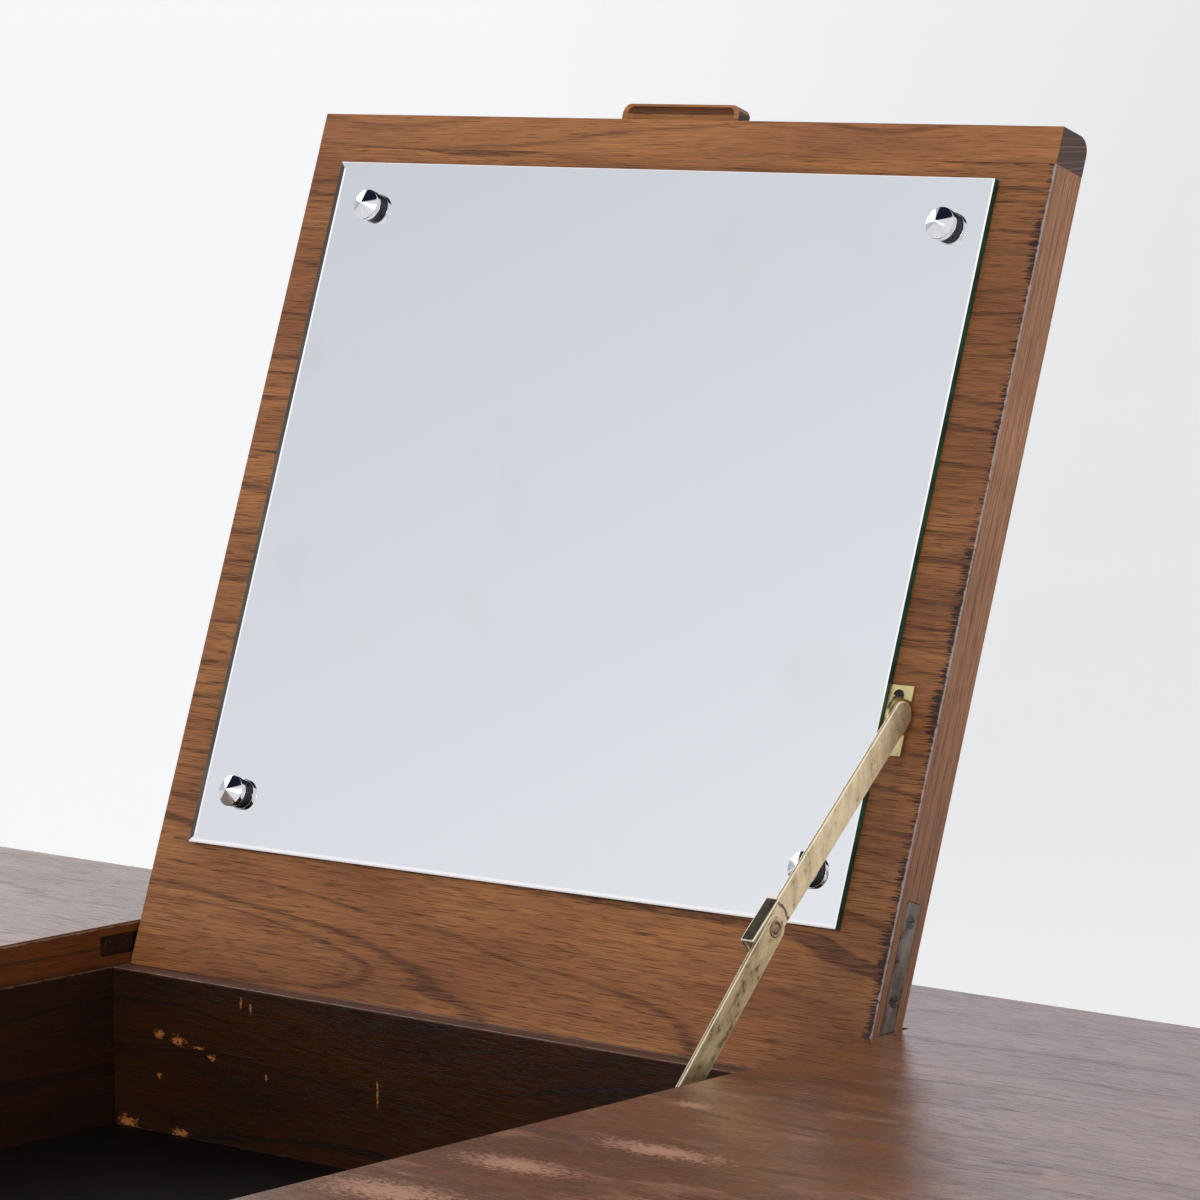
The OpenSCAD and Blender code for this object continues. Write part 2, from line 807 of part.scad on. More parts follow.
stay_knee_rivet();
stay_foot_rivet();
drawer_front(-1);  // left_drawer_front
drawer_sides(-1);  // left_drawer_sides
drawer_back(-1);  // left_drawer_back
drawer_bottom(-1);  // left_drawer_bottom
drawer_knob(-1);  // left_drawer_knob
drawer_front(1);  // right_drawer_front
drawer_sides(1);  // right_drawer_sides
drawer_back(1);  // right_drawer_back
drawer_bottom(1);  // right_drawer_bottom
drawer_knob(1);  // right_drawer_knob
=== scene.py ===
import json
import math

import bmesh
import bpy
import numpy as np
from mathutils import Matrix, Vector


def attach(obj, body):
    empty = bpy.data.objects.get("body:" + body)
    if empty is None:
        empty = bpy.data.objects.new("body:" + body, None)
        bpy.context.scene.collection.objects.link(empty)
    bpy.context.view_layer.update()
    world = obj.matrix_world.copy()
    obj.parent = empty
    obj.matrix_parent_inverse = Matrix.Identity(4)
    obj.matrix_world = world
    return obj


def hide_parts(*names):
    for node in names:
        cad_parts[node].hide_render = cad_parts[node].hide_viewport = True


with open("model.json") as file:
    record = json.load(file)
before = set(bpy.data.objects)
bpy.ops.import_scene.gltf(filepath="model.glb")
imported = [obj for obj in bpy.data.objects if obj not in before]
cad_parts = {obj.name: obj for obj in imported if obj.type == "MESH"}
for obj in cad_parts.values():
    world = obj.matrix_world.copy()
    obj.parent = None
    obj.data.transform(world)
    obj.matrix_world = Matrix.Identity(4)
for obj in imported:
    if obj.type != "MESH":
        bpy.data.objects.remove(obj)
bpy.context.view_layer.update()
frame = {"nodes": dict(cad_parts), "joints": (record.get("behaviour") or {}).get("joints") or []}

MM = 0.001
WEAR_BAND = 12 * MM  # how far in from an arris its wear can reach

# The lid's hinge axis and how far it opens, in the row frame
joints = {joint["name"]: joint for joint in frame["joints"]}
PIVOT = np.array(joints["lid_hinge"]["pos_m"])
OPEN = math.radians(joints["lid_hinge"]["range_deg"][1])


# ---- Places taken from the CAD nodes ---------------------------------------

def about_hinge(points, angle):
    """Points turned about the hinge axis: y' = y cos a - z sin a and z' = y sin a + z cos a."""
    y, z = (np.asarray(points, float) - PIVOT)[..., 1:].T
    turned_y = y * math.cos(angle) - z * math.sin(angle)
    turned_z = y * math.sin(angle) + z * math.cos(angle)
    x = np.asarray(points, float)[..., 0]
    return np.stack([x, turned_y.T + PIVOT[1], turned_z.T + PIVOT[2]], -1)


def node_points(node, lid=False):
    """A CAD node's vertices as an array; with lid, turned to where they lie on the closed lid."""
    mesh = frame["nodes"][node].data
    points = np.empty(len(mesh.vertices) * 3, np.float32)
    mesh.vertices.foreach_get("co", points)
    points = points.reshape(-1, 3).astype(float)
    return about_hinge(points, OPEN) if lid else points


def node_box(node, lid=False):
    """Lowest and highest corner of a CAD node; with lid, in the closed lid's own directions."""
    points = node_points(node, lid)
    return points.min(0), points.max(0)


# ---- Surfaces --------------------------------------------------------------

def ring_quads(rings, count):
    """Quads between neighbouring points of neighbouring rings, with each ring's last point joined to its
    first."""
    index = np.arange(rings * count).reshape(rings, count)
    index = np.concatenate([index, index[:, :1]], 1)
    corners = [index[:-1, :-1], index[:-1, 1:], index[1:, 1:], index[1:, :-1]]
    return np.stack(corners, -1).reshape(-1, 4)


def eased(corners, reach, steps=4):
    """A broken line with rounded corners. Each is the quadratic curve (1-t)^2 a + 2t(1-t) c + t^2 b through
    its corner c's neighbours a and b, which lie `reach` back along the two sides."""
    corners = np.asarray(corners, float)
    t = np.linspace(0, 1, steps + 1)[None, :, None]
    sides = [np.roll(corners, 1, 0) - corners, np.roll(corners, -1, 0) - corners]
    ends = []
    for side in sides:
        length = np.linalg.norm(side, axis=1, keepdims=True)
        ends.append(corners + side / np.maximum(length, 1e-9) * np.minimum(reach, 0.45 * length))
    middle = corners[:, None]
    line = (1 - t) ** 2 * ends[0][:, None] + 2 * t * (1 - t) * middle + t ** 2 * ends[1][:, None]
    inner = line[1:-1].reshape(-1, corners.shape[1])
    return np.concatenate([corners[:1], inner, corners[-1:]])


def turned(profile, steps=64):
    """A closed surface of revolution about +Z: each (radius, height) of the profile becomes a ring
    (r cos a, r sin a, h), and a point on the axis closes each end."""
    profile = np.asarray(profile, float)
    angle = np.linspace(0, 2 * np.pi, steps, endpoint=False)
    rings = profile[1:-1]
    points = np.stack([
        rings[:, :1] * np.cos(angle), rings[:, :1] * np.sin(angle),
        np.repeat(rings[:, 1:], steps, 1)], -1).reshape(-1, 3)
    poles = np.array([[0, 0, profile[0, 1]], [0, 0, profile[-1, 1]]])
    quads = ring_quads(len(rings), steps)
    ring = np.arange(steps)
    after = np.roll(ring, -1)
    last = (len(rings) - 1) * steps
    count = len(points)
    low_fan = np.stack([np.full(steps, count), after, ring], -1)
    high_fan = np.stack([np.full(steps, count + 1), last + ring, last + after], -1)
    return np.concatenate([points, poles]), quads.tolist() + low_fan.tolist() + high_fan.tolist()


def inset(outline, depth):
    """A closed outline moved inwards by a depth: each point along the mean of its sides' normals, longer by
    1 / cos of half the turn there."""
    along = np.roll(outline, -1, 0) - outline
    along /= np.linalg.norm(along, axis=1, keepdims=True)
    normal = np.stack([-along[:, 1], along[:, 0]], -1)
    mean = normal + np.roll(normal, 1, 0)
    mean /= np.linalg.norm(mean, axis=1, keepdims=True)
    stretch = (mean * normal).sum(1, keepdims=True)
    return outline + mean / stretch * depth


def plate(outline, edge):
    """A flat plate: the anticlockwise outline is carried through the edge's (inset, height) pairs, from the
    bottom up, and both ends are filled."""
    rings = [np.column_stack([inset(outline, depth), np.full(len(outline), height)])
             for depth, height in edge]
    count = len(outline)
    quads = ring_quads(len(edge), count).tolist()
    bottom = list(range(count))[::-1]
    top = list(range((len(edge) - 1) * count, len(edge) * count))
    return np.concatenate(rings), quads + [bottom, top]


def placed(points, origin, axis):
    """Points whose +Z is laid along an axis from an origin, with their +X as near as it can be to the
    frame's, or to its +Y where the axis is +X."""
    z = np.asarray(axis, float) / np.linalg.norm(axis)
    x = np.array([1.0, 0.0, 0.0]) - z * z[0]
    if np.linalg.norm(x) < 0.1:
        x = np.array([0.0, 1.0, 0.0]) - z * z[1]
    x /= np.linalg.norm(x)
    return np.asarray(origin) + points @ np.stack([x, np.cross(z, x), z])


def joined(parts):
    """Several (points, faces) surfaces as one."""
    points, faces, count = [], [], 0
    for part_points, part_faces in parts:
        points.append(part_points)
        faces += [[count + corner for corner in face] for face in part_faces]
        count += len(part_points)
    return np.concatenate(points), faces


def rule(low, high, step, marks=()):
    """Grid lines between two edges: close ones near each edge, so that wear fades evenly, then even steps."""
    span = high - low
    near = [reach for reach in (1.5 * MM, 4 * MM, WEAR_BAND) if reach < 0.4 * span]
    first = near[-1] if near else 0
    even = np.linspace(low + first, high - first, max(2, round((span - 2 * first) / step) + 1))
    lines = [low, high, *even, *marks]
    lines += [low + reach for reach in near] + [high - reach for reach in near]
    lines = np.unique(np.round([line for line in lines if low <= line <= high], 6))
    return lines


def skin(rules, cuts):
    """The outer skin of a block of grid cells from which the cut boxes are left out: a quad wherever a kept
    cell has no kept neighbour. Also each point's nearness to an arris, 1 on it and 0 at WEAR_BAND from it,
    and which way each quad looks, as twice its axis, plus one towards the high side."""
    middles = [(line[1:] + line[:-1]) / 2 for line in rules]
    centre = np.stack(np.meshgrid(*middles, indexing="ij"), -1)
    kept = np.ones(centre.shape[:3], bool)
    for low, high in cuts:
        kept &= ~((centre > low) & (centre < high)).all(-1)
    padded = np.pad(kept, 1)
    shape = [len(line) for line in rules]
    quads, facing = [], []
    for axis in range(3):
        u, v = [(1, 2), (2, 0), (0, 1)][axis]
        step_u, step_v = np.eye(3, dtype=int)[u], np.eye(3, dtype=int)[v]
        for side in (-1, 1):
            beyond = np.roll(padded, -side, axis)[1:-1, 1:-1, 1:-1]
            cells = np.argwhere(kept & ~beyond)
            base = cells + np.eye(3, dtype=int)[axis] * (side > 0)
            corners = [base, base + step_u, base + step_u + step_v, base + step_v]
            quad = np.stack([np.ravel_multi_index(corner.T, shape) for corner in corners], -1)
            quads.append(quad if side > 0 else quad[:, ::-1])
            facing.append(np.full(len(quad), 2 * axis + (side > 0)))
    quads, facing = np.concatenate(quads), np.concatenate(facing)
    used, quads = np.unique(quads, return_inverse=True)
    quads = quads.reshape(-1, 4)
    index = np.stack(np.unravel_index(used, shape), -1)
    points = np.stack([rules[axis][index[:, axis]] for axis in range(3)], -1)
    sides = np.zeros((len(points), 6), bool)
    sides[quads.ravel(), np.repeat(facing, 4)] = True
    arris = points[sides.sum(1) > 1]
    nearest = np.empty(len(points))
    for start in range(0, len(points), 1000):
        gap = points[start:start + 1000, None] - arris[None]
        nearest[start:start + 1000] = np.sqrt((gap ** 2).sum(-1).min(1))
    return points, quads.tolist(), np.clip(1 - nearest / WEAR_BAND, 0, 1), facing


# ---- Pieces ----------------------------------------------------------------

def arris_wear(points, low, high, arrises):
    """Nearness to chosen arrises of a box, 1 on them and 0 at WEAR_BAND away. Each arris is a pair of
    (axis, side) planes, side 0 low and 1 high, and its distance is the hypotenuse of those to the planes."""
    nearness = np.zeros(len(points))
    for planes in arrises:
        gaps = [points[:, axis] - (low, high)[side][axis] for axis, side in planes]
        nearness = np.maximum(nearness, 1 - np.hypot(*gaps) / WEAR_BAND)
    return nearness


def piece(name, surface, finishes, body, nodes, wear=None, face_finish=None, crease=35):
    """A new piece of the table from a (points, faces) surface. It rides on its body, stands for its CAD nodes
    and is shaded smooth except where it turns by more than the crease angle."""
    points, faces = surface
    mesh = bpy.data.meshes.new(name)
    mesh.from_pydata(points.tolist(), [], faces)
    finishes = finishes if isinstance(finishes, list) else [finishes]
    for finish in finishes:
        mesh.materials.append(finish)
    if face_finish is not None:
        mesh.polygons.foreach_set("material_index", face_finish)
    if wear is not None:
        mesh.attributes.new("wear", "FLOAT", "POINT").data.foreach_set("value", wear.astype(np.float32))
    mesh.shade_smooth()
    mesh.set_sharp_from_angle(angle=math.radians(crease))
    mesh.validate()
    made = bpy.data.objects.new(name, mesh)
    bpy.context.scene.collection.objects.link(made)
    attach(made, body)
    if nodes:
        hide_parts(*nodes)
    return made


def soften(made, width, segments=3, arris=-1):
    """Rounds a piece's arrises; arris is the slot of a finish for the rounds alone, which then keep their
    full width."""
    bevel = made.modifiers.new("soft_arris", "BEVEL")
    bevel.width = width
    bevel.segments = segments
    bevel.limit_method = "ANGLE"
    bevel.angle_limit = math.radians(40)
    bevel.harden_normals = True
    bevel.material = arris
    bevel.use_clamp_overlap = arris < 0


FRONT, TOP = 2, 5  # the ways of skin's quads that look along -Y and along +Z


def board(node, finish, body, lid=False, step=30 * MM, soft=0.5 * MM, cuts=(), arrises=None,
          other=None):
    """A wooden board in a CAD node's place, with soft arrises, its own wear and any mortises cut out of it.
    It wears along all its arrises unless some are chosen. other is a (finish, way) for the faces that look
    that way."""
    low, high = node_box(node, lid)
    marks = [[], [], []]
    for cut in cuts:
        for axis in range(3):
            marks[axis] += [cut[0][axis], cut[1][axis]]
    rules = [rule(low[axis], high[axis], step, marks[axis]) for axis in range(3)]
    points, quads, wear, facing = skin(rules, cuts)
    finishes = [finish, other[0]] if other else [finish]
    face_finish = (facing == other[1]).astype(np.int32) if other else None
    if arrises is not None:
        wear = arris_wear(points, low, high, arrises)
    if lid:
        points = about_hinge(points, -OPEN)
    made = piece(node + "_board", (points, quads), finishes, body, [node], wear, face_finish, crease=40)
    soften(made, min(soft, 0.3 * (high - low).min()))
    return made


def softened(node, finishes, body, width, segments=3, arris=-1, choose=None, sharp_at=()):
    """A merged copy of a CAD node with soft arrises. choose gives each face its finish from the faces'
    centres and normals. Edges within 5 mm of a sharp_at place, such as a rivet's hole, stay sharp."""
    bm = bmesh.new()
    bm.from_mesh(frame["nodes"][node].data)
    bmesh.ops.remove_doubles(bm, verts=bm.verts, dist=0.002 * MM)
    bmesh.ops.dissolve_limit(bm, angle_limit=math.radians(1), verts=bm.verts, edges=bm.edges)
    mesh = bpy.data.meshes.new(node + "_worked")
    bm.to_mesh(mesh)
    bm.free()
    for finish in finishes if isinstance(finishes, list) else [finishes]:
        mesh.materials.append(finish)
    if choose is not None:
        centre = np.empty(len(mesh.polygons) * 3, np.float32)
        normal = np.empty_like(centre)
        mesh.polygons.foreach_get("center", centre)
        mesh.polygons.foreach_get("normal", normal)
        chosen = choose(centre.reshape(-1, 3), normal.reshape(-1, 3))
        mesh.polygons.foreach_set("material_index", chosen.astype(np.int32))
    mesh.shade_smooth()
    mesh.set_sharp_from_angle(angle=math.radians(35))
    made = bpy.data.objects.new(node + "_worked", mesh)
    bpy.context.scene.collection.objects.link(made)
    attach(made, body)
    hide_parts(node)
    soften(made, width, segments, arris)
    if sharp_at:
        ends = np.empty(len(mesh.edges) * 2, np.int32)
        corners = np.empty(len(mesh.vertices) * 3, np.float32)
        weight = np.empty(len(mesh.edges), bool)
        mesh.edges.foreach_get("vertices", ends)
        mesh.vertices.foreach_get("co", corners)
        mesh.edges.foreach_get("use_edge_sharp", weight)
        middles = corners.reshape(-1, 3)[ends.reshape(-1, 2)].mean(1)
        for place in sharp_at:
            weight &= np.linalg.norm(middles - np.array(place), axis=1) > 5 * MM
        weights = mesh.attributes.new("bevel_weight_edge", "FLOAT", "EDGE")
        weights.data.foreach_set("value", weight.astype(np.float32))
        made.modifiers["soft_arris"].limit_method = "WEIGHT"
    return made


# ---- Finishes --------------------------------------------------------------

def colour(hex_code):
    """An sRGB hex colour as linear RGBA."""
    value = np.array([int(hex_code[start:start + 2], 16) / 255 for start in (1, 3, 5)])
    linear = np.where(value <= 0.04045, value / 12.92, ((value + 0.055) / 1.055) ** 2.4)
    return (*linear.tolist(), 1.0)


def add_node(tree, kind, inputs=None, **settings):
    """Adds a shader node, sets its properties, and gives its inputs values or links."""
    node = tree.nodes.new("ShaderNode" + kind)
    for key, value in settings.items():
        setattr(node, key, value)
    for key, value in (inputs or {}).items():
        if isinstance(value, bpy.types.NodeSocket):
            tree.links.new(value, node.inputs[key])
        else:
            node.inputs[key].default_value = value
    return node


def new_finish(name):
    """A new material with its node tree, its shader and the object's own coordinates, in metres."""
    material = bpy.data.materials.new(name)
    material.use_nodes = True
    tree = material.node_tree
    shader = tree.nodes["Principled BSDF"]
    place = add_node(tree, "TexCoord").outputs["Object"]
    return material, tree, shader, place


# Rotations that lay a pattern's +X along the grain
TURNS = {
    "across": Matrix.Identity(3),
    "deep": Matrix.Rotation(-math.pi / 2, 3, "Z"),
    "upright": Matrix.Rotation(math.pi / 2, 3, "Y"),
    "lid_across": Matrix.Rotation(OPEN, 3, "X"),
    "lid_long": Matrix.Rotation(-math.pi / 2, 3, "Z") @ Matrix.Rotation(OPEN, 3, "X"),
}


def along_grain(tree, place, turn):
    """Coordinates in millimetres from the hinge axis, turned so that +X follows the grain."""
    rotation = TURNS[turn] if isinstance(turn, str) else turn
    return add_node(tree, "Mapping", {
        "Vector": place, "Scale": (1 / MM,) * 3, "Rotation": rotation.to_euler(),
        "Location": -(rotation @ Vector(PIVOT)) / MM}).outputs[0]


def scaled(tree, place, along, across):
    """Coordinates counted in lengths along the grain and across it."""
    return add_node(tree, "VectorMath", {0: place, 1: (1 / along, 1 / across, 1 / across)},
                    operation="MULTIPLY").outputs[0]


def noise(tree, place, detail=2.0, roughness=0.5):
    """Noise with one cell to a unit of its place."""
    return add_node(tree, "TexNoise", {"Vector": place, "Scale": 1.0, "Detail": detail,
                                       "Roughness": roughness}).outputs["Fac"]


def between(tree, value, low, high, to_low=0.0, to_high=1.0):
    """A value's place between two limits, carried to another two."""
    return add_node(tree, "MapRange", {"Value": value, "From Min": low, "From Max": high,
                                       "To Min": to_low, "To Max": to_high}).outputs[0]


def reckon(tree, operation, first, second, third=0.0):
    """One sum of two or three values."""
    return add_node(tree, "Math", {0: first, 1: second, 2: third}, operation=operation).outputs[0]


def blend(tree, share, under, over):
    """One colour laid over another by a share."""
    tones = [tone if isinstance(tone, bpy.types.NodeSocket) else colour(tone) for tone in (under, over)]
    return add_node(tree, "Mix", {0: share, 6: tones[0], 7: tones[1]}, data_type="RGBA").outputs[2]


def spot_mask(tree, place, ragged, spots):
    """Ragged spots, each a (centre, half sizes) in metres: a spot is where the ragged noise, less a share of
    the distance from its centre counted in half sizes, is still high."""
    mask = 0.0
    for centre, reach in spots:
        stretch = tuple(1 / length for length in reach)
        near = add_node(tree, "VectorMath", {0: place, 1: stretch}, operation="MULTIPLY").outputs[0]
        gap = add_node(tree, "VectorMath", {0: near, 1: tuple(c * k for c, k in zip(centre, stretch))},
                       operation="DISTANCE").outputs["Value"]
        height = reckon(tree, "SUBTRACT", ragged, reckon(tree, "MULTIPLY", gap, 0.24))
        mask = reckon(tree, "MAXIMUM", mask, between(tree, height, 0.30, 0.42))
    return mask


def wood(name, light, mid, dark, turn, figure=45.0, ring_mm=9.0, rings=0.5, fibres=0.5, pores=0.6, heart=None,
         bare="#a88468", wear=0.6, nicks=0.0, shade=None, scuffs=None, spots=(), chip_mm=4.0, roughness=0.42,
         gloss=0.3, relief_mm=0.05, seed=0.0):
    """Sawn or sliced wood. Growth rings are noise along the distance across the grain, bent by slow noise;
    fibres are noise drawn out along the grain, and pores its short dark peaks, thickest on the rings.
    heart is a (place along the grain, place across it, stretch), the places in millimetres, about which the
    rings run in ellipses, as where a slice meets the tree's middle. shade is a (start, end, share) in metres
    along X of a darker side, and scuffs a (share, centre, reach) of rubbed patches, which thin out away from
    the centre. spots are as spot_mask takes them, with an outline as ragged as chip_mm."""
    material, tree, shader, place = new_finish(name)
    grain = along_grain(tree, place, turn)
    grain = add_node(tree, "VectorMath", {0: grain, 1: (seed, seed * 0.7, seed * 0.3)},
                     operation="ADD").outputs[0]

    # rings bent by up to the figure in mm, over lengths of 260 mm
    bend = noise(tree, scaled(tree, grain, 260, 62), 2.0, 0.4)
    axes = add_node(tree, "SeparateXYZ", {0: grain}).outputs
    width = reckon(tree, "ADD", axes["Y"], axes["Z"])
    if heart:
        along = reckon(tree, "DIVIDE", reckon(tree, "SUBTRACT", axes["X"], heart[0]), heart[2])
        aside = reckon(tree, "SUBTRACT", width, heart[1])
        squares = reckon(tree, "MULTIPLY_ADD", along, along, reckon(tree, "MULTIPLY", aside, aside))
        width = reckon(tree, "SQRT", squares, 0.0)
    ring_place = reckon(tree, "DIVIDE", reckon(tree, "MULTIPLY_ADD", bend, figure * 3, width), ring_mm)
    growth = add_node(tree, "TexNoise", {"W": ring_place, "Scale": 1.0, "Detail": 2.0, "Roughness": 0.6},
                      noise_dimensions="1D").outputs["Fac"]
    ring = between(tree, growth, 0.54, 0.68)

    # fibres 0.7 mm wide and pores 0.5 mm wide and 15 mm long, both drawn as coarse as they need to be to
    # show; they wander with the rings
    sway = add_node(tree, "CombineXYZ", {"Y": reckon(tree, "MULTIPLY", bend, figure * 0.7)}).outputs[0]
    swayed = add_node(tree, "VectorMath", {0: grain, 1: sway}, operation="ADD").outputs[0]
    fibre = noise(tree, scaled(tree, swayed, 42, 0.7), 4.0, 0.7)
    dash = noise(tree, scaled(tree, swayed, 15, 0.5), 1.0)
    pore = between(tree, reckon(tree, "MULTIPLY_ADD", ring, 0.10, dash), 0.59, 0.66)

    # patches of stain and handling, 40 to 150 mm
    patch = noise(tree, scaled(tree, grain, 150, 42), 3.0)
    tone = blend(tree, between(tree, patch, 0.36, 0.66), light, mid)
    tone = blend(tree, between(tree, fibre, 0.38, 0.70, 0, fibres), tone, dark)
    tone = blend(tree, reckon(tree, "MULTIPLY", ring, rings), tone, dark)
    tone = blend(tree, reckon(tree, "MULTIPLY", pore, pores), tone, dark)

    if shade:
        aside = add_node(tree, "SeparateXYZ", {0: place}).outputs["X"]
        tone = blend(tree, between(tree, aside, shade[0], shade[1], 0, shade[2]), tone, dark)

    # wear: dark nicks that run in along the grain from an arris, and the arris itself rubbed pale
    near = add_node(tree, "Attribute", attribute_name="wear").outputs["Fac"]
    if nicks:
        nick = noise(tree, scaled(tree, grain, 11, 0.75), 3.0, 0.6)
        reach = noise(tree, scaled(tree, grain, 45, 45), 2.0)
        depth = reckon(tree, "MULTIPLY_ADD", near, 0.40, reckon(tree, "MULTIPLY_ADD", reach, 0.6, nick))
        tone = blend(tree, between(tree, depth, 1.12, 1.18, 0, nicks), tone, "#1d1210")
    chip = noise(tree, scaled(tree, grain, 6, 3), 4.0, 0.7)
    worn = between(tree, reckon(tree, "MULTIPLY_ADD", chip, 0.28, near), 1.06, 1.10, 0, wear)
    if scuffs:
        # rubbed patches 15 to 60 mm long, where the finish has gone
        rub = noise(tree, scaled(tree, grain, 60, 17), 6.0, 0.68)
        gap = add_node(tree, "VectorMath", {0: place, 1: scuffs[1]}, operation="DISTANCE").outputs["Value"]
        share = between(tree, gap, 0.4 * scuffs[2], scuffs[2], scuffs[0], 0.12 * scuffs[0])
        worn = reckon(tree, "MAXIMUM", worn, reckon(tree, "MULTIPLY", between(tree, rub, 0.54, 0.68), share))
    if spots:
        ragged = noise(tree, scaled(tree, grain, chip_mm, 0.4 * chip_mm), 5.0, 0.75)
        worn = reckon(tree, "MAXIMUM", worn, spot_mask(tree, place, ragged, spots))
    tone = blend(tree, worn, tone, bare)
    tree.links.new(tone, shader.inputs["Base Color"])

    # dull where the pores lie and where it is worn, smoother on the patches most often handled
    handled = between(tree, patch, 0.3, 0.7, roughness - 0.05, roughness + 0.06)
    dull = reckon(tree, "MULTIPLY_ADD", pore, 0.16, handled)
    tree.links.new(reckon(tree, "MULTIPLY_ADD", worn, 0.2, dull), shader.inputs["Roughness"])
    shader.inputs["Specular IOR Level"].default_value = gloss
    relief = reckon(tree, "MULTIPLY_ADD", pore, -0.9, fibre)
    bump = add_node(tree, "Bump", {"Height": relief, "Distance": relief_mm * MM, "Strength": 0.7})
    tree.links.new(bump.outputs[0], shader.inputs["Normal"])
    return material


def metal(name, clean, tarnish, turn, roughness, brushed=0.06, clouds=0.4, spots=0.5, spot_mm=3.0, ring=None,
          spread=0.0, seed=0.0, metallic=1.0):
    """Worked metal: fine draw lines along it, slow clouds of tarnish and sparse dark spots that also dull it,
    more of them with spread; ring is a (centre, radius) in metres of a dark rub left by a turning part."""
    material, tree, shader, place = new_finish(name)
    grain = along_grain(tree, place, turn)
    grain = add_node(tree, "VectorMath", {0: grain, 1: (seed, seed, seed)}, operation="ADD").outputs[0]
    lines = noise(tree, scaled(tree, grain, 40, 0.5), 3.0)
    cloud = noise(tree, scaled(tree, grain, 16, 6), 4.0, 0.65)
    spot = noise(tree, scaled(tree, grain, spot_mm, spot_mm), 4.0, 0.65)
    spotted = reckon(tree, "MULTIPLY_ADD", cloud, 0.55, spot)
    stain = between(tree, spotted, 0.90 - spread, 0.98 - spread, 0, spots)
    if ring is not None:
        gap = add_node(tree, "VectorMath", {0: place, 1: ring[0]}, operation="DISTANCE").outputs["Value"]
        off = reckon(tree, "ABSOLUTE", reckon(tree, "SUBTRACT", gap, ring[1]), 0.0)
        rub = reckon(tree, "SUBTRACT", reckon(tree, "MULTIPLY", spot, 4.2 * MM), off)
        stain = reckon(tree, "MAXIMUM", stain, between(tree, rub, 1.0 * MM, 1.6 * MM, 0, 0.75))
    tone = blend(tree, between(tree, cloud, 0.40, 0.70, 0, clouds), clean, tarnish)
    tone = blend(tree, between(tree, lines, 0.55, 0.75, 0, 0.25), tone, tarnish)
    tone = blend(tree, stain, tone, "#3a2c22")
    tree.links.new(tone, shader.inputs["Base Color"])
    shader.inputs["Metallic"].default_value = metallic
    rough = between(tree, lines, 0.3, 0.7, roughness - brushed, roughness + brushed)
    tree.links.new(reckon(tree, "MULTIPLY_ADD", stain, 0.25, rough), shader.inputs["Roughness"])
    bump = add_node(tree, "Bump", {"Height": lines, "Distance": 0.02 * MM, "Strength": 0.5})
    tree.links.new(bump.outputs[0], shader.inputs["Normal"])
    return material


def mottled(name, first, second, mottle_mm, dulls, detail=2.0, tone_span=(0.0, 1.0), dull_span=(0.3, 0.7),
            metallic=0.0):
    """An even surface with a mottle of two near tones. The noise's share of the second tone runs over
    tone_span, and the roughness goes from the first of dulls to the second over dull_span."""
    material, tree, shader, place = new_finish(name)
    mottle = add_node(tree, "TexNoise", {"Vector": place, "Scale": 1 / (mottle_mm * MM),
                                         "Detail": detail}).outputs["Fac"]
    tone = blend(tree, between(tree, mottle, *tone_span), first, second)
    tree.links.new(tone, shader.inputs["Base Color"])
    tree.links.new(between(tree, mottle, *dull_span, *dulls), shader.inputs["Roughness"])
    shader.inputs["Metallic"].default_value = metallic
    return material


# ---- Camera, floor and studio ----------------------------------------------

YAW, PITCH, ROLL = (math.radians(angle) for angle in (40.978, -6.76446, -0.343518))
forward = Vector((-math.sin(YAW) * math.cos(PITCH), math.cos(YAW) * math.cos(PITCH), math.sin(PITCH)))
level = Vector((math.cos(YAW), math.sin(YAW), 0))
upward = level.cross(forward)
camera_x = math.cos(ROLL) * level + math.sin(ROLL) * upward
camera_y = math.cos(ROLL) * upward - math.sin(ROLL) * level
camera = bpy.data.objects.new("camera", bpy.data.cameras.new("camera"))
camera.matrix_world = Matrix.Translation((1.77307, -1.80335, 1.23409)) @ Matrix(
    (camera_x, camera_y, -forward)).transposed().to_4x4()
camera.data.sensor_width = 36.0
camera.data.lens = 157.83
camera.data.clip_end = 2000.0
bpy.context.scene.collection.objects.link(camera)
bpy.context.scene.camera = camera
bpy.context.scene.view_settings.view_transform = "Standard"

FLOOR_REACH = 900.0
floor_mesh = bpy.data.meshes.new("floor")
floor_points, floor_faces = turned(np.array([[0, -0.02], [FLOOR_REACH, -0.02], [FLOOR_REACH, 0], [0, 0]]), 96)
floor_mesh.from_pydata(floor_points.tolist(), [], floor_faces)
floor = bpy.data.objects.new("floor", floor_mesh)
bpy.context.scene.collection.objects.link(floor)
floor_finish, floor_tree, floor_shader, floor_place = new_finish("floor_pale_matt_paint")
floor_cloud = add_node(floor_tree, "TexNoise", {"Vector": floor_place, "Scale": 0.8,
                                                "Detail": 2.0}).outputs["Fac"]
floor_tree.links.new(blend(floor_tree, floor_cloud, "#f6f6f6", "#f3f3f3"), floor_shader.inputs["Base Color"])
floor_shader.inputs["Roughness"].default_value = 0.9
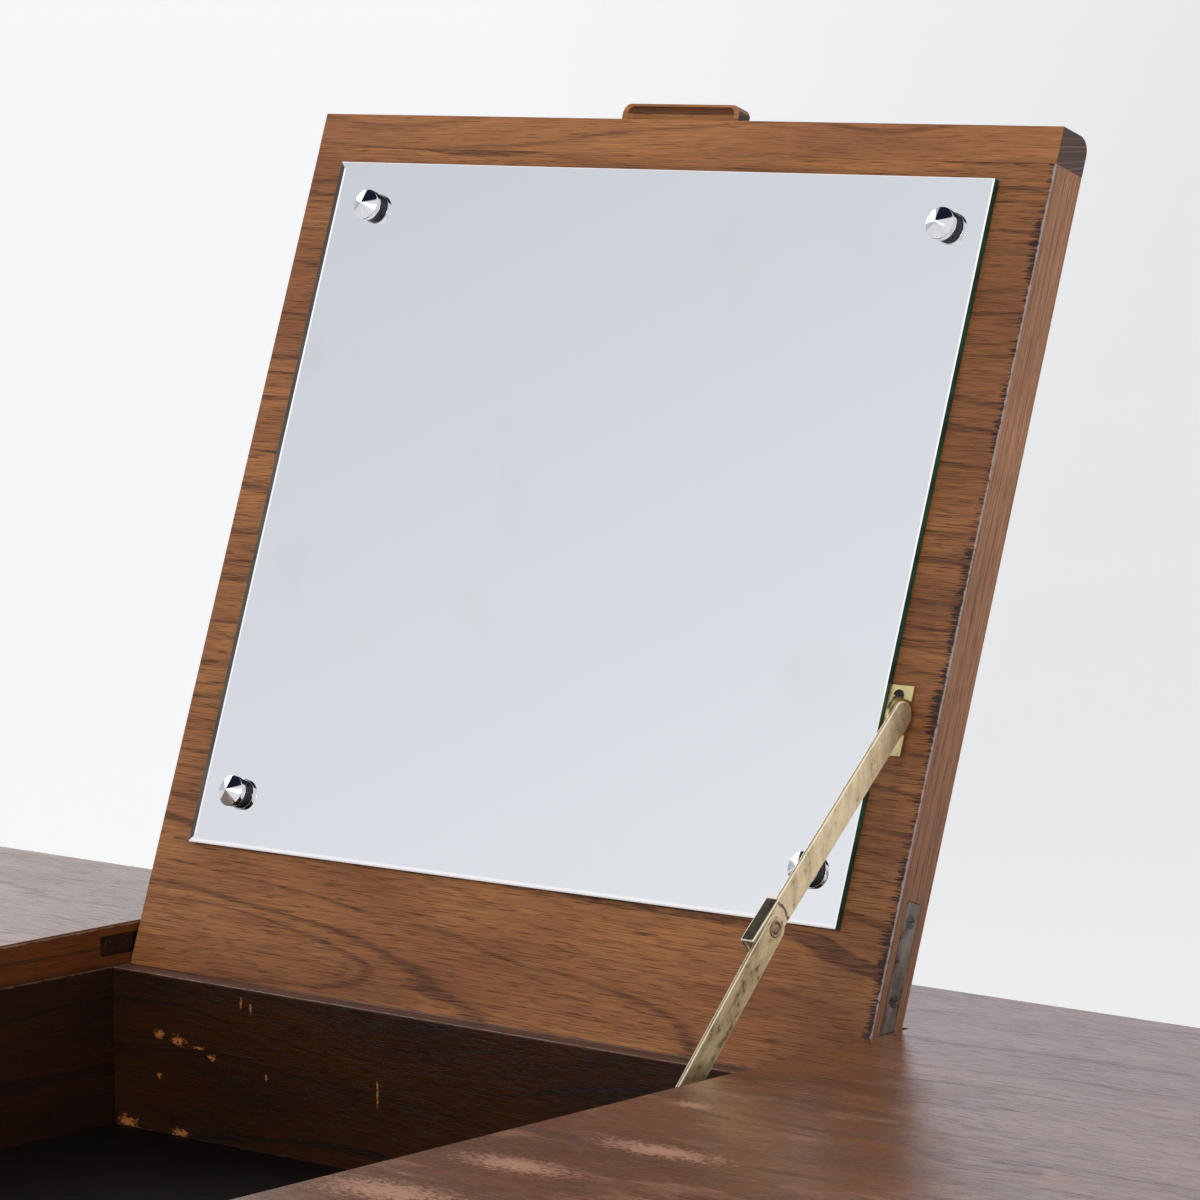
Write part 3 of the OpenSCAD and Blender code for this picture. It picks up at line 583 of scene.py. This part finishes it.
# Painted light: the floor glows a little, and less towards the table's rear right, a painted shade there: by
# how far a place lies that way for each metre that it lies to the rear left
rear_right, rear_left = (
    add_node(floor_tree, "VectorMath", {0: floor_place, 1: Vector(axis).normalized()},
             operation="DOT_PRODUCT").outputs["Value"]
    for axis in ((1, 1, 0), (-1, 1, 0)))
side_slope = reckon(floor_tree, "DIVIDE", rear_right, reckon(floor_tree, "MAXIMUM", rear_left, 0.1))
rear_right_painted_shade = reckon(floor_tree, "MULTIPLY", between(floor_tree, side_slope, 0.05, 0.20),
                    between(floor_tree, rear_left, 0.0, 3.0))
floor_glow = reckon(floor_tree, "MULTIPLY_ADD", rear_right_painted_shade, -0.13, 0.28)
floor_shader.inputs["Emission Color"].default_value = colour("#ffffff")
floor_tree.links.new(floor_glow, floor_shader.inputs["Emission Strength"])
floor_mesh.materials.append(floor_finish)

# The studio: white all round; pale blue-grey in front on the left, where the glass looks, paler lower down;
# grey low behind on the left, which the polished top picks up; and a dark patch of ceiling for the chrome
# caps
world = bpy.data.worlds.new("studio")
bpy.context.scene.world = world
world.use_nodes = True
sky = world.node_tree
toward = add_node(sky, "TexCoord").outputs["Generated"]
height = add_node(sky, "SeparateXYZ", {0: toward}).outputs["Z"]


def toward_mask(direction, low, high):
    """How nearly a direction of the studio is faced: its cosine, between two limits."""
    facing = add_node(sky, "VectorMath", {0: toward, 1: Vector(direction).normalized()},
                      operation="DOT_PRODUCT")
    return between(sky, facing.outputs["Value"], low, high)


along_wall = add_node(sky, "VectorMath", {0: toward, 1: (0.85, -0.85, 0)},
                      operation="DOT_PRODUCT").outputs["Value"]
wall_rise = reckon(sky, "SUBTRACT", height, along_wall)
wall_tone = blend(sky, between(sky, wall_rise, 0.12, 0.62), "#fafcff", "#c9cdd4")
sky_tone = blend(sky, toward_mask((-0.70, -0.66, 0.10), 0.1, 0.6), "#fdfdfd", wall_tone)
low_down = between(sky, height, 0.35, 0.60, 1.0, 0.0)
back_share = reckon(sky, "MULTIPLY", toward_mask((-0.50, 0.86, 0.15), 0.94, 0.995), low_down)
sky_tone = blend(sky, back_share, sky_tone, "#dfe3f0")
sky_tone = blend(sky, toward_mask((-0.30, -0.25, 0.92), 0.80, 0.85), sky_tone, "#1c2230")
sky.links.new(sky_tone, sky.nodes["Background"].inputs["Color"])
sky.nodes["Background"].inputs["Strength"].default_value = 1.05


def softbox(name, place, aim, size, power):
    """A square soft light at a place, turned to its aim."""
    lamp = bpy.data.lights.new(name, "AREA")
    lamp.shape = "SQUARE"
    lamp.size = size
    lamp.energy = power
    made = bpy.data.objects.new(name, lamp)
    made.location = place
    made.rotation_mode = "QUATERNION"
    made.rotation_quaternion = (Vector(aim) - Vector(place)).to_track_quat("-Z", "Y")
    bpy.context.scene.collection.objects.link(made)


softbox("front_softbox", (0.45, -3.4, 2.5), (0, 0, 0.9), 1.0, 30)
softbox("left_softbox", (-3.0, 0.6, 2.4), (0, 0, 0.8), 1.4, 25)

# ---- The table's own finishes ----------------------------------------------

KNEE = tuple(joints["stay_knee_pivot"]["pos_m"])


def bar_turn(start, end):
    """The rotation that lays +X along a bar of the stay, whose broad faces look along X."""
    along = (Vector(end) - Vector(start)).normalized()
    return Matrix((along, Vector((1, 0, 0)).cross(along), Vector((1, 0, 0))))


foot_low, foot_high = node_box("stay_foot_rivet")
lid_right = node_box("lid_underside_veneer")[1][0]
upper_turn = bar_turn(joints["stay_top_pivot"]["pos_m"], KNEE)
lower_turn = bar_turn(KNEE, (foot_low + foot_high) / 2)

# Sliced teak, oiled: orange-brown with fine dark pores, a shade darker down the lid's right, and nicked and
# rubbed along its arris there. End grain soaks up more oil: dark, with pale rings
lid_veneer = wood("teak_veneer_sliced_and_oiled_lid_inside", "#b97a45", "#955c34", "#412518", "lid_across",
                  figure=14, ring_mm=6.5, rings=0.42, fibres=0.62, pores=0.7, heart=(-250, -10, 9),
                  bare="#a89a98", wear=0.8, nicks=0.9,
                  shade=(lid_right - 65 * MM, lid_right - 35 * MM, 0.30), roughness=0.48, gloss=0.28)
lid_front_wood = wood("teak_lipping_planed_lid_front", "#b57744", "#965f38", "#4b2c1d", "lid_across",
                      figure=20, ring_mm=9, rings=0.4, fibres=0.55, pores=0.5, bare="#b8835c", wear=0.5,
                      roughness=0.46, gloss=0.3, seed=150)
# The finger hollow's side that faces the hinge: the same teak, darker, a painted shade where the hollow turns
# away from the light
hollow_shaded_wood = wood("teak_lipping_grimed_finger_hollow", "#6d4324", "#54321b", "#2a170d", "lid_across",
                   figure=20, ring_mm=9, rings=0.4, fibres=0.5, pores=0.5, wear=0.0, roughness=0.5,
                   gloss=0.2, seed=160)
end_grain = wood("teak_end_grain_oiled_lid_front", "#46342f", "#3a2b27", "#725c54", "deep", figure=16,
                 ring_mm=1.0, rings=0.55, fibres=0.15, pores=0.3, wear=0.0, roughness=0.5, gloss=0.2,
                 seed=90)
outer_veneer = wood("teak_veneer_sliced_and_polished_lid_outside", "#8d5530", "#74421f", "#3a2013",
                    "lid_across", figure=60, rings=0.4, pores=0.5, roughness=0.34, gloss=0.5, seed=400)

# Where the top is rubbed beside the opening: each patch by its distance from the opening and from the top's
# front, and half its width and depth, in millimetres
left_inner = node_box("left_opening_lipping")[1][0]
right_inner = node_box("right_opening_lipping")[0][0]
top_low, top_high = node_box("top_veneer")


def on_top(out, back):
    """A place on the top, in millimetres out from the right of the opening and back from the front."""
    return right_inner + out * MM, top_low[1] + back * MM, top_high[2]


top_rubs = [(on_top(out, back), (wide * MM, deep * MM, 10 * MM)) for out, back, wide, deep in (
    (30, 285, 18, 7), (80, 205, 45, 12), (50, 145, 40, 14), (40, 75, 45, 20))]
top_veneer = wood("teak_veneer_sliced_and_polished_top", "#8e5b3a", "#764b2f", "#3d2516", "across",
                  figure=48, ring_mm=10, rings=0.3, fibres=0.5, pores=0.6, bare="#b98667", wear=0.6,
                  scuffs=(0.45, on_top(110, 190), 0.30), spots=top_rubs, roughness=0.18, gloss=0.64,
                  relief_mm=0.11, seed=900)
lid_side_wood = wood("teak_lipping_planed_lid_sides", "#aa7856", "#906446", "#50342a", "lid_long", figure=6,
                     ring_mm=1.7, rings=0.5, fibres=0.65, pores=0.5, bare="#a89a98", wear=0.3,
                     roughness=0.5, gloss=0.25, seed=130)
edge_wood_x = wood("teak_lipping_planed_front_and_rear", "#7d4c2c", "#633a20", "#341d11", "across",
                   figure=8, ring_mm=5, rings=0.4, fibres=0.6, bare="#9b7257", seed=310)
edge_wood_y = wood("teak_lipping_planed_sides", "#7b431a", "#603111", "#2f180a", "deep", figure=8,
                   ring_mm=5, rings=0.4, fibres=0.6, bare="#a48a78", gloss=0.25, seed=350)

# The worst chips in the well's back: each by its distance from the left end and down from the top, and half
# its width and height, in millimetres
well_low, well_high = node_box("well_back")
well_chips = [
    ((well_low[0] + along * MM, well_low[1], well_high[2] - down * MM), (wide * MM, 10 * MM, high * MM))
    for along, down, wide, high in (
        (35, 32, 5, 3), (50, 34, 7, 3), (65, 36, 5, 1), (75, 40, 3, 2), (35, 55, 2, 2), (115, 45, 1, 2),
        (195, 42, 1, 8), (97, 8, 1, 4), (104, 10, 1, 4), (10, 83, 9, 4), (50, 84, 8, 3))]
well_wood_x = wood("beech_stained_dark_well_back", "#472408", "#2a1406", "#0b0502", "across", figure=30,
                   ring_mm=8, rings=0.6, fibres=0.7, pores=0.5, bare="#b9713a", wear=0.12, roughness=0.33,
                   gloss=0.6, seed=510, spots=well_chips, chip_mm=3.2)
# The well back's top face: the dark beech made paler and greyer, a painted sheen where it catches the light,
# with its arris rubbed pale
ledge_sheen_wood = wood("beech_stained_dark_and_rubbed_well_ledge", "#70544b", "#5c443c", "#33221c", "across",
                  figure=20, bare="#b7aaa8", wear=0.75, roughness=0.36, gloss=0.6, seed=530)
well_wood_y = wood("beech_stained_dark_well_sides", "#40200b", "#281306", "#0d0603", "deep", figure=30,
                   ring_mm=8, rings=0.5, fibres=0.6, pores=0.5, bare="#8d6b50", wear=0.4, roughness=0.42,
                   gloss=0.3, seed=560)
well_floor_wood = wood("plywood_stained_dark_well_floor", "#140d0b", "#0f0a09", "#060403", "across",
                       figure=20, rings=0.3, pores=0.3, bare="#8d6b50", wear=0.5, roughness=0.55, gloss=0.1,
                       seed=610)
case_wood_x = wood("teak_planed_and_oiled_case_front", "#93592f", "#7b4724", "#3d2214", "across", rings=0.3,
                   seed=700)
case_wood_y = wood("teak_planed_and_oiled_case_ends", "#93592f", "#7b4724", "#3d2214", "deep", rings=0.3,
                   seed=740)
leg_wood = wood("teak_turned_and_oiled_legs", "#93592f", "#7b4724", "#3d2214", "upright", figure=10,
                seed=780)
core_wood = wood("blockboard_sawn", "#b08a5f", "#9a7750", "#75583a", "across", roughness=0.7, seed=820)
ply_wood = wood("birch_plywood_sanded", "#c6a377", "#b69164", "#93714a", "deep", roughness=0.6, seed=860)
box_wood = wood("pine_planed_drawer_sides", "#c3a074", "#ad885c", "#8a6843", "deep", figure=15,
                roughness=0.55, seed=890)

lid_leaf_steel = metal("mild_steel_browned_and_rubbed_lid_leaves", "#7d726b", "#453a34", "lid_long", 0.42,
                       clouds=0.8, spots=0.8)
# The fixed leaves: the same browned steel as the lid's, darker, a painted shade where they sit down in the
# well
fixed_leaf_steel_shaded = metal("mild_steel_browned_fixed_leaves", "#4a3d35", "#241a15", "deep", 0.45, clouds=0.8,
                         spots=0.7)
pin_steel = metal("mild_steel_turned_pins", "#8f8a84", "#4a423a", "across", 0.35)
screw_steel = metal("mild_steel_turned_dull_screws", "#57504b", "#2a2420", "across", 0.4, clouds=0.8,
                    spots=0.8, spot_mm=1.5)
upper_brass = metal("brass_rolled_and_aged_upper_arm", "#e6d1ac", "#9c8462", upper_turn, 0.38, clouds=0.55,
                    spots=0.35, ring=(KNEE, 12.5 * MM), metallic=0.8)
lower_brass = metal("brass_rolled_and_aged_lower_arm", "#d6c298", "#826b48", lower_turn, 0.38, clouds=0.75,
                    spots=0.55, spot_mm=3.6, spread=0.03, seed=35, metallic=0.8)
# The rounds along the arms' arrises: a paler, brighter brass, a painted highlight where they catch the light
brass_arris_highlight = metal("brass_rubbed_bright_arrises", "#f7ecd2", "#d9c59b", upper_turn, 0.5, clouds=0.3,
                     spots=0.2, metallic=0.7)
# The folded lug: the brass darker, partly tarnish and partly a painted shade where its faces turn away from
# the light
lug_brass_tarnish_and_shade = metal("brass_tarnished_inside_the_lug", "#6e6450", "#39332a", upper_turn, 0.42, clouds=0.9,
                   spots=0.6)
plate_brass = metal("brass_stamped_bracket_plate", "#d8c68e", "#96824f", "lid_long", 0.3, clouds=0.5,
                    spots=0.5)
rivet_brass = metal("brass_peened_rivets", "#a58c70", "#6b4e3c", "across", 0.36, clouds=0.8, spots=0.7,
                    spot_mm=1.5)
chrome = metal("chrome_plated_and_polished_caps", "#dedee2", "#b4b4b9", "lid_across", 0.045, brushed=0.012,
               clouds=0.2, spots=0.1)
rubber = mottled("rubber_moulded_washers", "#131416", "#222326", 0.4, (0.45, 0.55))
plastic = mottled("polyethylene_moulded_glides", "#1c1c1c", "#2a2a29", 0.7, (0.50, 0.60))

# Silvered float glass: an almost perfect reflection, with one or two faint smears that dull it
silver = mottled("float_glass_silvered", "#edeef0", "#e8e9e9", 83.33, (0.004, 0.03), detail=3.0,
                 tone_span=(0.62, 0.80), dull_span=(0.62, 0.80), metallic=1.0)

# The ground arris: fine matt facets, a pale line round the glass, with a faint painted glow that stands in
# for light carried through the glass and coming out there. The same painted light stands for the far cut edge
# where the glass shows it lit from behind, a painted reflection
ground = mottled("float_glass_ground_arris", "#f4eeee", "#e2dfe0", 1.111, (0.15, 0.35), dull_span=(0.0, 1.0))
ground_shader = ground.node_tree.nodes["Principled BSDF"]
ground_shader.inputs["Emission Color"].default_value = colour("#f6f8fa")
ground_shader.inputs["Emission Strength"].default_value = 0.27

# Painted shade: a dark, glossy band for the far cut edge where the glass shows it unlit, and for the arris in
# front of it
polished = mottled("float_glass_polished_arris", "#403f3a", "#75726b", 16.67, (0.05, 0.12), metallic=1.0)

# The cut edge: looking into the thickness of the glass, dark and green
cut_edge = mottled("float_glass_cut_edge", "#08362a", "#27604d", 22.22, (0.08, 0.2), detail=3.0,
                   tone_span=(0.35, 0.7))

# ---- Table top, well and case ----------------------------------------------

opening_rear = node_box("right_opening_lipping")[1][1]
opening_cut = [np.array([left_inner, top_low[1] - 1, 0]), np.array([right_inner, opening_rear, 2])]
board("top_veneer", top_veneer, "table", step=25 * MM, soft=0.3 * MM, cuts=[opening_cut],
      arrises=[])


def mortise(leaf, lid=False):
    """The box that a hinge leaf fills, a little long, so that the leaf lies in a clean mortise."""
    low, high = node_box(leaf, lid)
    margin = np.array([0, 0.15, 0.15]) * MM
    low, high = low - margin, high + margin
    side = np.sign(low[0] + high[0])
    outward = -1 if lid else 1
    if side * outward > 0:
        low[0] -= 5 * MM
    else:
        high[0] += 5 * MM
    return low, high


for end, side in enumerate(("left", "right")):
    inner = 1 - end
    board(side + "_opening_lipping", edge_wood_y, "table",
          cuts=[mortise(side + "_fixed_hinge_leaf")], arrises=[((0, inner), (2, 1))])
    board(side + "_front_lipping", edge_wood_x, "table", arrises=[((1, 0), (2, 0))])
    board(side + "_end_lipping", edge_wood_y, "table", arrises=[((0, end), (2, 0))])
    board(side + "_well_side", well_wood_y, "table", soft=0.6 * MM,
          arrises=[((0, inner), (2, 1))], other=(case_wood_x, FRONT))
    board(side + "_end_apron", case_wood_y, "table", soft=1.0 * MM)
board("rear_lipping", edge_wood_x, "table", arrises=[((1, 1), (2, 0))])
# Its top faces take the paler ledge finish, a painted sheen
board("well_back", well_wood_x, "table", soft=0.5 * MM, arrises=[((1, 0), (2, 1))],
      other=(ledge_sheen_wood, TOP))
board("well_floor", well_floor_wood, "table", soft=0.4 * MM, arrises=[((1, 1), (2, 1))])
board("front_rail", case_wood_x, "table", soft=1.0 * MM)
board("back_apron", case_wood_x, "table", soft=1.0 * MM)

for row in ("front", "rear"):
    for side in ("left", "right"):
        node = f"{row}_{side}_leg"
        low, high = node_box(node)
        points = node_points(node)
        foot = points[points[:, 2] < low[2] + 1 * MM]
        centre = (low + high) / 2
        foot_r = (foot[:, 0].max() - foot[:, 0].min()) / 2
        head_z = node_box("front_rail")[0][2]
        neck = points[np.abs(points[:, 2] - head_z) < 1 * MM]
        neck_r = np.sort(np.hypot(neck[:, 0] - centre[0], neck[:, 1] - centre[1]))[0]
        profile = [(0, low[2]), (foot_r, low[2]), (neck_r, head_z)]
        shaft_points, shaft_faces = turned(np.concatenate([
            profile[:1], eased(profile, 2 * MM)[1:], [(0, head_z + 2 * MM)]]), 72)
        shaft_points[:, :2] += centre[:2]
        head_low, head_high = low.copy(), high.copy()
        head_low[2] = head_z
        rules = [rule(head_low[axis], head_high[axis], 30 * MM) for axis in range(3)]
        head_points, head_faces, head_wear, _ = skin(rules, [])
        wear = np.concatenate([np.zeros(len(shaft_points)), head_wear])
        leg = piece(node + "_turned", joined([(shaft_points, shaft_faces), (head_points, head_faces)]),
                    leg_wood, "table", [node], wear)
        soften(leg, 0.8 * MM)


def turned_set(name, node, places, axis, profile, finish, body, lid=False, steps=64):
    """The same turned shape at several places, as one piece. Lid places are on the closed lid."""
    points, faces = turned(profile, steps)
    copies = []
    for place in places:
        copy = placed(points, place, axis)
        copies.append((about_hinge(copy, -OPEN) if lid else copy, faces))
    return piece(name, joined(copies), finish, body, [node])


glide_high = node_box("foot_glides")[1]
leg_centres = [(node_box(f"{row}_{side}_leg")[0] + node_box(f"{row}_{side}_leg")[1]) / 2
               for row in ("front", "rear") for side in ("left", "right")]
glide_r = glide_high[0] - max(centre[0] for centre in leg_centres)
glide_profile = eased([(0, 0), (glide_r - 1.4 * MM, 0), (glide_r, glide_high[2]), (0, glide_high[2])], 1 * MM)
turned_set("foot_glides_moulded", "foot_glides", [(c[0], c[1], 0) for c in leg_centres], (0, 0, 1),
           glide_profile, plastic, "table")

# ---- Lid -------------------------------------------------------------------

board("lid_underside_veneer", lid_veneer, "lid", lid=True, step=12 * MM,
      soft=0.35 * MM, arrises=[((0, 1), (2, 0))])
board("lid_outer_veneer", outer_veneer, "lid", lid=True, soft=0.3 * MM,
      arrises=[((0, 0), (2, 1)), ((0, 1), (2, 1))])
board("lid_rear_lipping", lid_front_wood, "lid", lid=True, arrises=[])
for side in ("left", "right"):
    board(f"lid_{side}_lipping", lid_side_wood, "lid", lid=True, step=10 * MM, soft=0.35 * MM,
          cuts=[mortise(side + "_lid_hinge_leaf", lid=True)], arrises=[])


tab_low = node_box("lid_front_lipping", lid=True)[0]


def by_end_grain(centre, normal):
    """The second finish for faces that cut across the grain, the third, darker as painted shade, for the side
    of the finger hollow whose faces look along the closed lid towards the hinge, and the fourth for the outer
    faces."""
    place, facing = about_hinge(centre, OPEN), about_hinge(normal + PIVOT, OPEN) - PIVOT
    hollow = (place[:, 1] < tab_low[1] + 9 * MM) & (facing[:, 1] > 0.12) & (facing[:, 2] < -0.2)
    outer = (facing[:, 1] < -0.5) | (facing[:, 2] > 0.5)
    return np.where(np.abs(normal[:, 0]) > 0.9, 1, np.where(hollow, 2, np.where(outer, 3, 0)))


softened("lid_front_lipping", [lid_front_wood, end_grain, hollow_shaded_wood, edge_wood_x], "lid",
         0.9 * MM, choose=by_end_grain)

# Mirror: a plate with a ground arris along its front, cut slightly out of square
glass = node_points("mirror_glass", lid=True)
ways = ((-1, -1), (1, -1), (1, 1), (-1, 1))
outline = np.array([glass[np.argmax(glass[:, 0] * sx + glass[:, 1] * sy)][:2] for sx, sy in ways])
glass_front, glass_back = glass[:, 2].min(), glass[:, 2].max()
ARRIS = 0.6 * MM
BACK_ARRIS = 0.5 * MM
BANDS = (4.6 * MM, 3.4 * MM, 2.2 * MM)  # how far in from the edge the bands of the far cut edges start
edge = [(depth, glass_front) for depth in (*BANDS, ARRIS)]
edge += [(0, glass_front + ARRIS), (0, glass_back - BACK_ARRIS), (BACK_ARRIS, glass_back)]
glass_points, glass_faces = plate(outline, edge)
glass_points = about_hinge(glass_points, -OPEN)
per_ring = len(outline)
# Each band's finishes along the lid's front, right, rear and left, from the innermost out: silver, then the
# far cut edges as the glass shows them, painted reflections: painted shade at the left within a painted pale
# line, and painted light at the rear, and last the arris itself
bands = [0, 0, 0, 1] + [0, 0, 0, 3] + [0, 0, 1, 3] + [1, 1, 1, 3]
kinds = np.concatenate([bands, np.full(2 * per_ring, 2), [0, 2]]).astype(np.int32)
piece("mirror_glass_silvered", (glass_points, glass_faces), [silver, ground, cut_edge, polished], "lid",
      ["mirror_glass"], face_finish=kinds, crease=3)

# Caps, washers and screws stand on the glass in the same four places
cap_low, cap_high = node_box("mirror_caps", lid=True)
washer_low = node_box("mirror_washers", lid=True)[0]
caps = node_points("mirror_caps", lid=True)
cap_r = (caps[caps[:, 0] < 0][:, 0].max() - caps[caps[:, 0] < 0][:, 0].min()) / 2
near_set, far_set = caps[caps[:, 1] > caps[:, 1].mean()], caps[caps[:, 1] < caps[:, 1].mean()]
cap_places = [(x, (group[:, 1].min() + group[:, 1].max()) / 2, washer_low[2])
              for group in (near_set, far_set) for x in (cap_low[0] + cap_r, cap_high[0] - cap_r)]
cap_h = washer_low[2] - cap_low[2]
rim_h = 3 * MM
cap_profile = np.concatenate([[(0, 0)], eased([
    (0, 0), (cap_r, 0), (cap_r, rim_h), (0.5 * MM, cap_h - 0.1 * MM), (0, cap_h)], 0.35 * MM, 5)[1:]])
turned_set("mirror_caps_polished", "mirror_caps", cap_places, (0, 0, -1), cap_profile, chrome, "lid",
           lid=True, steps=96)
washer_r = cap_r - 0.7 * MM
washer_t = glass_front - washer_low[2]
washer_profile = eased([(0, 0), (washer_r, 0), (washer_r, washer_t), (0, washer_t)], 0.5 * MM)
turned_set("mirror_washers_moulded", "mirror_washers", cap_places, (0, 0, 1), washer_profile, rubber, "lid",
           lid=True)

# ---- Hinges, screws and stay -----------------------------------------------

for side in ("left", "right"):
    softened(side + "_fixed_hinge_leaf", fixed_leaf_steel_shaded, "table", 0.25 * MM)
    softened(side + "_lid_hinge_leaf", lid_leaf_steel, "lid", 0.25 * MM)
softened("table_wood_screws", screw_steel, "table", 0.12 * MM, 2)
softened("lid_wood_screws", screw_steel, "lid", 0.12 * MM, 2)
softened("stay_wall_plate", plate_brass, "table", 0.3 * MM)
softened("stay_lid_bracket", plate_brass, "lid", 0.3 * MM)

arm_t = node_box("stay_lower_arm")[1][0] - node_box("stay_lower_arm")[0][0]


def by_lug(centre, normal):
    """The third finish for the folded lug, which stands out past the arm's own thickness: darker, part
    tarnish, part painted shade.
    """
    return 2 * (centre[:, 0] > node_box("stay_upper_arm")[0][0] + 1.2 * arm_t)


# Each arm's rounded arrises take the paler brass of the second slot, a painted highlight
softened("stay_upper_arm", [upper_brass, brass_arris_highlight, lug_brass_tarnish_and_shade], "stay_upper", 0.7 * MM,
         arris=1, choose=by_lug, sharp_at=[joints["stay_top_pivot"]["pos_m"], KNEE])
softened("stay_lower_arm", [lower_brass, brass_arris_highlight], "stay_lower", 0.5 * MM, arris=1,
         sharp_at=[KNEE, (foot_low + foot_high) / 2])

# The knee rivet, hammered over: a ring raised round a hollow, with a low button in the middle
knee_low, knee_high = node_box("stay_knee_rivet")
knee_r = (knee_high[1] - knee_low[1]) / 2
head = knee_high[0] - node_box("stay_lower_arm")[1][0]
knee_len = knee_high[0] - knee_low[0]
knee_profile = [
    (0, 0), (0.8 * knee_r, 0), (knee_r, 0.3 * head), (knee_r, head), (0.6 * knee_r, head),
    (0.6 * knee_r, knee_len - head), (knee_r, knee_len - head), (0.97 * knee_r, knee_len - 0.3 * head),
    (0.85 * knee_r, knee_len), (0.72 * knee_r, knee_len - 0.2 * head), (0.62 * knee_r, knee_len - 0.8 * head),
    (0.55 * knee_r, knee_len - 0.5 * head), (0.3 * knee_r, knee_len - 0.15 * head),
    (0, knee_len - 0.1 * head)]
turned_set("stay_knee_rivet_peened", "stay_knee_rivet",
           [(knee_low[0], (knee_low[1] + knee_high[1]) / 2, (knee_low[2] + knee_high[2]) / 2)], (1, 0, 0),
           knee_profile, rivet_brass, "stay_lower")

# ---- Drawers ---------------------------------------------------------------

for side in ("left", "right"):
    body = side + "_drawer"
    board(body + "_front", case_wood_x, body, soft=1.2 * MM)
    low, high = node_box(body + "_knob")
    knob_r = (high[0] - low[0]) / 2
    depth = high[1] - low[1]
    knob = eased([
        (0, 0), (0.54 * knob_r, 0), (0.54 * knob_r, 0.35 * depth), (0.8 * knob_r, 0.62 * depth),
        (knob_r, 0.78 * depth), (0.97 * knob_r, 0.93 * depth), (0.8 * knob_r, depth), (0, depth)], 3 * MM, 6)
    turned_set(body + "_knob_turned", body + "_knob",
               [((low[0] + high[0]) / 2, high[1], (low[2] + high[2]) / 2)], (0, -1, 0), knob, leg_wood, body)

# CAD pieces whose shape is right keep it, and get their finish
kept = {
    core_wood: ["top_core", "lid_core"],
    ply_wood: ["left_drawer_bed", "right_drawer_bed", "left_drawer_bottom", "right_drawer_bottom"],
    box_wood: ["drawer_guides", "left_drawer_sides", "left_drawer_back", "right_drawer_sides",
               "right_drawer_back"],
    pin_steel: ["hinge_pins"],
    screw_steel: ["mirror_screws"],
    upper_brass: ["stay_top_rivet"],
    lower_brass: ["stay_foot_rivet"],
}
for finish, nodes in kept.items():
    for node in nodes:
        node_mesh = frame["nodes"][node].data
        node_mesh.materials.clear()
        node_mesh.materials.append(finish)
